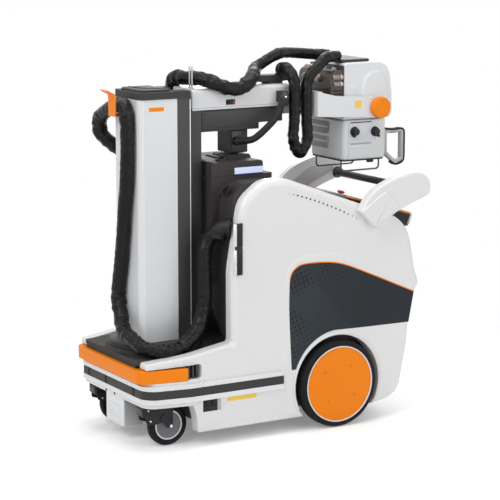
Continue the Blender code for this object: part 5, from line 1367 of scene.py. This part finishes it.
def collimator_details():
    box = plate(rounded(oblong((-0.122, 0.122), (0.3425, 0.5425), (0.026, 0.026, 0.012, 0.012)), 8),
                "Z", 1.006, 1.1622)
    ease(box, 0.007, 5, 60)
    cover = finish(box, "collimator_cover", ENAMEL, "collimator", 50)
    weighted(cover)
    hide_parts("collimator_box")
    for name, side in SIDES:
        face = side * 0.122
        slot = ribbon(((0.375, 1.152), (0.474, 1.152)), sorted((face - side * 0.001, face + side * 0.0006)),
                      0.0042, 0.0002)
        finish(slot, f"filter_slot_{name}", BLACK, "collimator")
        panel = plate(rounded(((0.383, 1.08, 0.006), (0.495, 1.08, 0.006), (0.495, 1.138, 0.008),
                               (0.47, 1.14, 0.02),
                               (0.445, 1.129, 0.02), (0.415, 1.14, 0.02), (0.383, 1.14, 0.008)), 5),
                      "X", face - side * 0.001, face + side * 0.0009, 0.0004)
        finish(panel, f"dial_panel_{name}", PALE_BLUE, "collimator")
        for label, y, z, turn in (("front", 0.394, 1.117, -28), ("rear", 0.49, 1.113, 28)):
            knob = turned([(0, 0.02), (0.012, 0.0198), (0.0138, 0.0182), (0.015, 0.004), (0.0192, 0.0022),
                           (0.0198, 0.0), (0, 0)],
                          (face, y, z), (side, 0, 0), 48)
            wing = block(sorted((face + side * 0.004, face + side * 0.0208)), (y - 0.0042, y + 0.0042),
                         (z - 0.0235, z + 0.012), 0.003, 3)
            add(knob, tilted(wing, side * turn, (face, y, z)))
            finish(knob, f"field_knob_{label}_{name}", BLACK, "collimator", 40)
        comb = bmesh.new()
        for k in range(9):
            y = 0.376 + 0.0112 * k
            add(comb, ribbon(((y, 1.073), (y + 0.003, 1.0665), (y + 0.0085, 1.0685)),
                             sorted((face, face + side * 0.0014)), 0.0016))
        finish(comb, f"scale_ticks_{name}", PROFILE, "collimator")
        seam = block(sorted((face - side * 0.001, face + side * 0.00035)), (0.3655, 0.3663), (1.012, 1.156),
                     0.0002)
        finish(seam, f"collimator_seam_{name}", SEAM, "collimator")
        frame_edge = plate(rounded(((0.372, 1.058, 0.004), (0.474, 1.056, 0.004), (0.474, 1.05, 0.003),
                                    (0.372, 1.052, 0.003)), 4),
                           "X", face - side * 0.001, face + side * 0.0012, 0.0005)
        finish(frame_edge, f"scale_rail_{name}", ENAMEL, "collimator")
        x = span(side, 0.0905, 0.1135)
        rubber = ribbon(((0.55, 1.118), (0.59, 1.114), (0.618, 1.116), (0.633, 1.112), (0.6385, 1.098),
                         (0.6385, 1.05),
                         (0.638, 1.0), (0.629, 0.982), (0.6, 0.974), (0.578, 0.985)), x, 0.008, 0.0022)
        finish(rubber, f"handle_rubber_{name}", RUBBER, "collimator", 50)
    # Painted shade: flat grey plates on the collimator's front stand in for the shade of its recess.
    recess = bmesh.new()
    add(recess, plate(rounded(((-0.112, 1.1, 0.004), (0.0, 1.1, 0.004), (0.02, 1.112, 0.006),
                               (0.02, 1.15, 0.005),
                               (-0.112, 1.15, 0.005)), 5), "Y", 0.3414, 0.343, 0.0005))
    add(recess, plate(rounded(((-0.112, 1.043, 0.004), (0.012, 1.043, 0.004), (0.018, 1.09, 0.006),
                               (-0.112, 1.09, 0.005)), 5),
                      "Y", 0.3414, 0.343, 0.0005))
    finish(recess, "front_recess_shade", SHADE_GREY, "collimator")
    bars = bmesh.new()
    for z in (1.066, 1.124):
        add(bars, block((-0.11, 0.01), (0.34, 0.3425), (z, z + 0.007), 0.002))
    add(bars, block((0.006, 0.011), (0.3398, 0.3425), (1.048, 1.086), 0.0015))
    finish(bars, "recess_bars", ENAMEL, "collimator")
    dots = bmesh.new()
    add(dots, dish(0.004, (0.04, 0.3425, 1.056), (0, -1, 0), 0.0004))
    add(dots, dish(0.0034, (0.046, 0.3425, 1.148), (0, -1, 0), 0.0004))
    finish(dots, "collimator_buttons", PROFILE, "collimator")
    window = turned([(0, -0.0008), (0.052, -0.0008), (0.06, 0.0), (0.064, 0.0016), (0.066, 0.0), (0, 0.0)],
                    (0, BEAM_Y, 1.0005), (0, 0, -1), 64)
    finish(window, "beam_window", SCREEN, "collimator", 40)
    wires = bmesh.new()
    for _, side in SIDES:
        x = side * 0.09
        line = ((x, 0.354, 1.003), (x, 0.354, 0.975), (x, 0.3562, 0.966), (x, 0.364, 0.961),
                (x, 0.372, 0.96), (x, 0.513, 0.96),
                (x, 0.521, 0.961), (x, 0.5288, 0.966), (x, 0.531, 0.975), (x, 0.531, 1.003))
        add(wires, pipe(line, 0.0034, 12, 0.003))
    wires = finish(wires, "spacer_wires", WIRE, "collimator", 60)
    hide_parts("spacer_guard")
    tray = plate(rounded(oblong((-0.115, 0.115), (0.347, 0.538), (0.012, 0.012, 0.008, 0.008)), 5),
                 "Z", 1.0, 1.0058, 0.0018)
    finish(tray, "spacer_tray", BLACK, "collimator")
    posts = bmesh.new()
    for x in (-0.094, 0.094):
        add(posts, plate(rounded(oblong((0.474, 0.5), (0.988, 1.001), (0.002, 0.002, 0.001, 0.001)), 3),
                         "X", x - 0.006, x + 0.006, 0.001))
    finish(posts, "spacer_posts", BLACK, "collimator")


def cabinet_details():
    """Edges, recess, plates, elbow and lid of the dark middle part."""
    for name, side in SIDES:
        line = [(side * x, -0.2362, z) for x, z in ((0.121, 0.845), (0.126, 0.872), (0.14, 0.9),
                                                    (0.164, 0.928),
                                                    (0.192, 0.95), (0.225, 0.968))]
        finish(pipe(line, 0.0036, 12), f"shoulder_edge_{name}", PROFILE, "base", 60)
        drop = rounded(((side * 0.178, 0.944, 0.01), (side * 0.19, 0.922, 0.014),
                        (side * 0.223, 0.933, 0.02),
                        (side * 0.242, 0.97, 0.012), (side * 0.212, 0.968, 0.03)), 8)
        finish(plate(drop, "Y", -0.2378, -0.2352, 0.001), f"shoulder_recess_{name}", BLACK, "base")
        rim = [(p.x, -0.2374, p.y) for p in drop]
        finish(pipe(rim + rim[:1], 0.0014, 8, 0.004), f"shoulder_rim_{name}", CHARCOAL, "base",
               60)
        eye = turned([(0.004, 0.0), (0.0048, 0.0016), (0.0074, 0.0016), (0.0084, 0.0), (0.0084, -0.001),
                      (0.004, -0.001),
                      (0.004, 0.0)], (side * 0.1, -0.2645, 0.979), (0, -1, 0), 32)
        finish(eye, f"cover_eye_{name}", BLACK, "base", 50)
        seam = block(span(side, 0.119, 0.1202), (-0.2368, -0.235), (0.62, 0.854), 0.0003)
        finish(seam, f"cover_seam_{name}", SEAM, "base")
    for name, x0, x1, z0, z1 in (("upper", -0.046, 0.025, 0.665, 0.75),
                                 ("lower", -0.047, 0.048, 0.585, 0.656)):
        bm = bmesh.new()
        bmesh.ops.create_grid(bm, x_segments=14, y_segments=1, size=0.5)
        for vert in bm.verts:
            x, z = x0 + (vert.co.x + 0.5) * (x1 - x0), z0 + (vert.co.y + 0.5) * (z1 - z0)
            vert.co = (x, COLUMN_Y + math.sqrt(0.2049 ** 2 - x * x), z)
        bmesh.ops.recalc_face_normals(bm, faces=bm.faces)
        bmesh.ops.solidify(bm, geom=bm.faces[:], thickness=0.0008)
        finish(bm, f"blank_plate_{name}", PAPER, "base")
    line = smooth_line(((0.244, -0.226, 0.804), (0.226, -0.24, 0.808), (0.206, -0.253, 0.801),
                        (0.194, -0.26, 0.788),
                        (0.189, -0.263, 0.774)), 0.003)
    rows = frames(line)
    last = len(rows) - 1

    def girth(row, angle):
        t = row / last
        lip = 0.0022 if t > 0.9 else 0.0
        return 0.029 + 0.0075 * t + lip - (0.0016 if 0.3 < t < 0.34 else 0.0)

    elbow = sweep(rows, 40, girth)
    elbow.faces.ensure_lookup_table()
    mouth = elbow.faces[-1]
    bmesh.ops.inset_region(elbow, faces=[mouth], thickness=0.0045, depth=0.0, use_even_offset=True)
    bmesh.ops.translate(elbow, verts=list(mouth.verts), vec=-0.02 * rows[last][1])
    elbow = finish(elbow, "port_elbow", BLACK, "base", 50)
    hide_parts("hose_port")
    flange = turned([(0.026, 0.0), (0.039, 0.0), (0.04, 0.0015), (0.04, 0.005), (0.038, 0.007),
                     (0.026, 0.007), (0.026, 0.0)],
                    (0.24, -0.234, 0.805), (-0.6, -0.78, 0.12), 48)
    finish(flange, "port_flange", BLACK, "base", 50)
    for name, side in SIDES:
        glow = block(span(side, 0.1516, 0.1542), (-0.166, -0.042), (0.9885, 0.9926), 0.0008)
        finish(glow, f"light_edge_{name}", BLUE, "base")
    switch = turned([(0, 0.018), (0.012, 0.017), (0.0165, 0.012), (0.0175, 0.0), (0, 0.0)],
                    (0.1, -0.185, 1.0385), (0, 0, 1), 32)
    add(switch, rod(0.0075, (0.1, -0.185, 1.05), (0.118, -0.205, 1.064), 20, 0.003))
    finish(switch, "hand_switch", BLACK, "base", 50)
    ledge = plate(rounded(oblong((-0.15, 0.15), (-0.26, -0.25), (0.01, 0.01, 0.002, 0.002)), 5),
                  "Z", 1.036, 1.042, 0.0018)
    finish(ledge, "cap_ledge", CHARCOAL, "base")
    foot = bmesh.new()
    for low, high, half, y0, y1 in ((1.038, 1.045, 0.066, -0.172, -0.042),
                                    (1.044, 1.05, 0.059, -0.145, -0.0425)):
        add(foot, plate(rounded(oblong((-half, half), (y0, y1), (0.012, 0.012, 0.002, 0.002)), 5), "Z", low,
                        high,
                        0.0024, 3))
    finish(foot, "rest_foot", CHARCOAL, "base")
    bars = bmesh.new()
    for _, side in SIDES:
        add(bars, block(span(side, 0.05, 0.053), (-0.119, -0.053), (1.064, 1.142), 0.0012))
    finish(bars, "shoe_cheeks", PROFILE, "mast")
    lid = plate(rounded(oblong((-0.195, 0.195), (0.0, 0.225), (0.03, 0.03, 0.012, 0.012)), 6),
                "Z", 0.9225, 0.927, 0.002, 3)
    lid = tilted(lid, LID_SLOPE, LID_MIDDLE)
    finish(lid, "cabinet_lid", CHARCOAL, "base")
    latch = plate(rounded(oblong((-0.034, 0.034), (0.018, 0.04), 0.006), 5),
                  "Z", 0.929, 0.9312, 0.0008)
    finish(tilted(latch, LID_SLOPE, LID_MIDDLE), "lid_latch", BLACK, "base")
    trim = block((FACE + 0.003, FACE + 0.0052), (-0.258, -0.244), (0.638, 0.733), 0.0008)
    add(trim, block((FACE + 0.003, FACE + 0.0052), (-0.258, -0.244), (0.747, 0.831), 0.0008))
    finish(trim, "slot_edge", SILVER, "base")
    lips = bmesh.new()
    for z0, z1 in ((0.64, 0.734), (0.746, 0.83)):
        add(lips, block((FACE + 0.0036, FACE + 0.0056), (-0.24, -0.2195), (z0, z1), 0.0009))
    finish(lips, "slot_flaps", BLACK, "base")


def console_details():
    """Screen, keys and coloured edges of the sloping console."""
    middle = (0, 0.4295, 0.844)
    slope = -16.68
    glass = plate(rounded(oblong((-0.175, 0.175), (0.315, 0.525), 0.01), 6),
                  "Z", 0.8425, 0.8475, 0.0012)
    finish(tilted(glass, slope, middle), "console_screen", SCREEN, "base")
    rim = plate(rounded(oblong((-0.19, 0.19), (0.301, 0.539), 0.016), 6),
                   "Z", 0.8405, 0.8457, 0.0014)
    finish(tilted(rim, slope, middle), "screen_frame", BLACK, "base")
    keys = bmesh.new()
    for k in range(6):
        for side in (-1, 1):
            y = 0.34 + 0.03 * k
            add(keys, plate(rounded(((side * 0.215 - 0.01, y, 0.004), (side * 0.215 + 0.01, y, 0.004),
                                     (side * 0.215 + 0.01, y + 0.018, 0.004),
                                     (side * 0.215 - 0.01, y + 0.018, 0.004)), 4), "Z", 0.843, 0.8462,
                                     0.0009))
    finish(tilted(keys, slope, middle), "console_keys", PROFILE, "base")
    wrist = plate(rounded(oblong((-0.245, 0.245), (0.565, 0.583), 0.006), 5),
                  "Z", 0.8405, 0.8462, 0.002, 3)
    finish(tilted(wrist, slope, middle), "console_rest", SOFT_GREY, "base")
    for name, side in SIDES:
        x = span(side, 0.2485, 0.2512)
        strip = ribbon(((0.276, 0.8872), (0.43, 0.8412), (0.578, 0.7965)), x, 0.006, 0.0008, 0.02)
        finish(strip, f"console_edge_{name}", ORANGE, "base")
        cheek = plate(rounded(((0.502, 0.756, 0.004), (0.506, 0.812, 0.006), (0.57, 0.793, 0.006),
                               (0.556, 0.756, 0.004)), 4),
                      "X", x[0], x[1], 0.0006)
        finish(cheek, f"console_cheek_{name}", BLACK, "base")
    tab = plate(rounded(((0.569, 0.754, 0.003), (0.583, 0.793, 0.004), (0.576, 0.797, 0.003),
                         (0.56, 0.756, 0.003)), 4),
                "X", 0.2485, 0.253, 0.0006)
    finish(tab, "console_tab_right", SOFT_GREY, "base")
    key = turned([(0, 0.012), (0.007, 0.0118), (0.0084, 0.01), (0.009, 0.002), (0.012, 0.0012),
                  (0.0125, 0.0), (0, 0)],
                 (0.205, 0.545, 0.812), (0, 0.287, 0.958), 32)
    finish(key, "key_switch", SILVER, "base", 50)
    stop = turned([(0, 0.02), (0.012, 0.019), (0.016, 0.015), (0.016, 0.011), (0.011, 0.009), (0.011, 0.0),
                   (0, 0)],
                  (-0.205, 0.545, 0.812), (0, 0.287, 0.958), 40)
    finish(stop, "emergency_stop", RED, "base", 50)


def rear_details():
    door = plate(rounded(oblong((-0.205, 0.205), (0.556, 0.723), 0.02), 6),
                 "Y", 0.556, 0.564, 0.003, 3)
    finish(tilted(door, 11.0, DOOR_MIDDLE), "rear_door", WHITE, "base")
    pull = plate(rounded(oblong((-0.06, 0.06), (0.692, 0.714), 0.01), 6),
                 "Y", 0.5635, 0.5652, 0.0006)
    finish(tilted(pull, 11.0, DOOR_MIDDLE), "door_pull", CHARCOAL, "base")
    slats = bmesh.new()
    for k in range(9):
        z = 0.295 + 0.011 * k
        y = 0.5243 + 0.105 * (z - 0.281)
        add(slats, tilted(block((-0.15, 0.15), (y - 0.002, y + 0.003), (z, z + 0.0065), 0.0018), 24,
                          (0, y, z + 0.003)))
    finish(slats, "vent_slats", SOFT_GREY, "base")
    inlet = plate(rounded(oblong((0.06, 0.12), (0.165, 0.205), 0.004), 5),
                  "Y", 0.505, 0.5135, 0.001)
    finish(tilted(inlet, -10, INLET_MIDDLE), "mains_inlet", BLACK, "base")
    pins = bmesh.new()
    for x in (0.078, 0.09, 0.102):
        add(pins, block((x - 0.0022, x + 0.0022), (0.5128, 0.5145), (0.18, 0.19), 0.0006))
    finish(tilted(pins, -10, INLET_MIDDLE), "inlet_pins", CHROME, "base")
    bar = bmesh.new()
    for _, side in SIDES:
        add(bar, dish(0.0045, (side * 0.228, 0.529, 0.34), (0, 1, -0.1), 0.0008))
        add(bar, dish(0.0045, (side * 0.228, 0.512, 0.18), (0, 1, -0.18), 0.0008))
    finish(bar, "rear_screws", CHROME, "base")


side_shells()
wings()
drive_wheels()
caster_details()
nose_details()
bumper_bow()
column_details()
boom_details()
clip_jaw()
fork_details()
head_details()
collimator_details()
cabinet_details()
console_details()
rear_details()

# Studio

def studio():
    """A white floor that keeps the shadow, a white surround, and large soft lamps."""
    floor_finish = bpy.data.materials.new("studio_floor")
    floor_finish.use_nodes = True
    tree = floor_finish.node_tree
    main = tree.nodes["Principled BSDF"]
    main.inputs["Base Color"].default_value = (0.98, 0.98, 0.98, 1)
    main.inputs["Roughness"].default_value = 0.9
    main.inputs["Specular IOR Level"].default_value = 0.1
    near = node(tree, "Emission", {"Strength": 0.21})
    far = node(tree, "Emission", {"Strength": 1.0})
    lit = node(tree, "AddShader")
    light = node(tree, "LightPath")
    glossy = node(tree, "Math", operation="MAXIMUM")
    seen = node(tree, "Math", operation="MAXIMUM")
    place = node(tree, "TexCoord")
    reach = node(tree, "VectorMath", operation="LENGTH")
    fade = node(tree, "MapRange", {"From Min": 0.95, "From Max": 2.1}, interpolation_type="SMOOTHSTEP")
    shown = node(tree, "MixShader")
    pick = node(tree, "MixShader")
    link = tree.links.new
    link(light.outputs["Is Glossy Ray"], glossy.inputs[0])
    link(light.outputs["Is Transmission Ray"], glossy.inputs[1])
    link(light.outputs["Is Camera Ray"], seen.inputs[0])
    link(glossy.outputs[0], seen.inputs[1])
    link(place.outputs["Object"], reach.inputs[0])
    link(reach.outputs["Value"], fade.inputs["Value"])
    link(main.outputs[0], lit.inputs[0])
    link(near.outputs[0], lit.inputs[1])
    link(fade.outputs["Result"], shown.inputs["Fac"])
    link(lit.outputs[0], shown.inputs[1])
    link(far.outputs[0], shown.inputs[2])
    link(seen.outputs[0], pick.inputs["Fac"])
    link(main.outputs[0], pick.inputs[1])
    link(shown.outputs[0], pick.inputs[2])
    link(pick.outputs[0], tree.nodes["Material Output"].inputs["Surface"])
    bm = bmesh.new()
    bmesh.ops.create_grid(bm, x_segments=1, y_segments=1, size=30)
    floor = finish(bm, "studio_floor", floor_finish, None)
    floor.data.transform(Matrix.Translation((0, 0, -0.0005)))

    world = bpy.data.worlds.new("surround")
    SCENE.world = world
    world.use_nodes = True
    tree = world.node_tree
    back = tree.nodes["Background"]
    back.inputs["Color"].default_value = (1, 1, 1, 1)
    back.inputs["Strength"].default_value = 0.355
    bright = node(tree, "Background", {"Color": (1, 1, 1, 1), "Strength": 1.0})
    light = node(tree, "LightPath")
    pick = node(tree, "MixShader")
    seen = node(tree, "Math", operation="MAXIMUM")
    tree.links.new(light.outputs["Is Camera Ray"], seen.inputs[0])
    sharp = node(tree, "Math", operation="MAXIMUM")
    tree.links.new(light.outputs["Is Transmission Ray"], sharp.inputs[0])
    tree.links.new(light.outputs["Is Glossy Ray"], sharp.inputs[1])
    tree.links.new(sharp.outputs[0], seen.inputs[1])
    tree.links.new(seen.outputs[0], pick.inputs["Fac"])
    tree.links.new(back.outputs[0], pick.inputs[1])
    tree.links.new(bright.outputs[0], pick.inputs[2])
    tree.links.new(pick.outputs[0], tree.nodes["World Output"].inputs["Surface"])
    for name, place, power, size in (("key", (1.4, -3.4, 3.4), 82, 2.6), ("side", (4.2, 1.4, 2.3), 52, 3.0),
                                     ("top", (0.0, 0.2, 4.2), 74, 3.0),
                                     ("back", (-3.0, 2.6, 2.6), 52, 2.4)):
        data = bpy.data.lights.new(name, "AREA")
        data.shape = "SQUARE"
        data.size = size
        data.energy = power
        lamp = bpy.data.objects.new(name, data)
        lamp.location = place
        lamp.rotation_euler = (Vector(place) - Vector((0, 0, 0.7))).to_track_quat("Z", "Y").to_euler()
        SCENE.collection.objects.link(lamp)
    SCENE.view_settings.view_transform = "Standard"


studio()
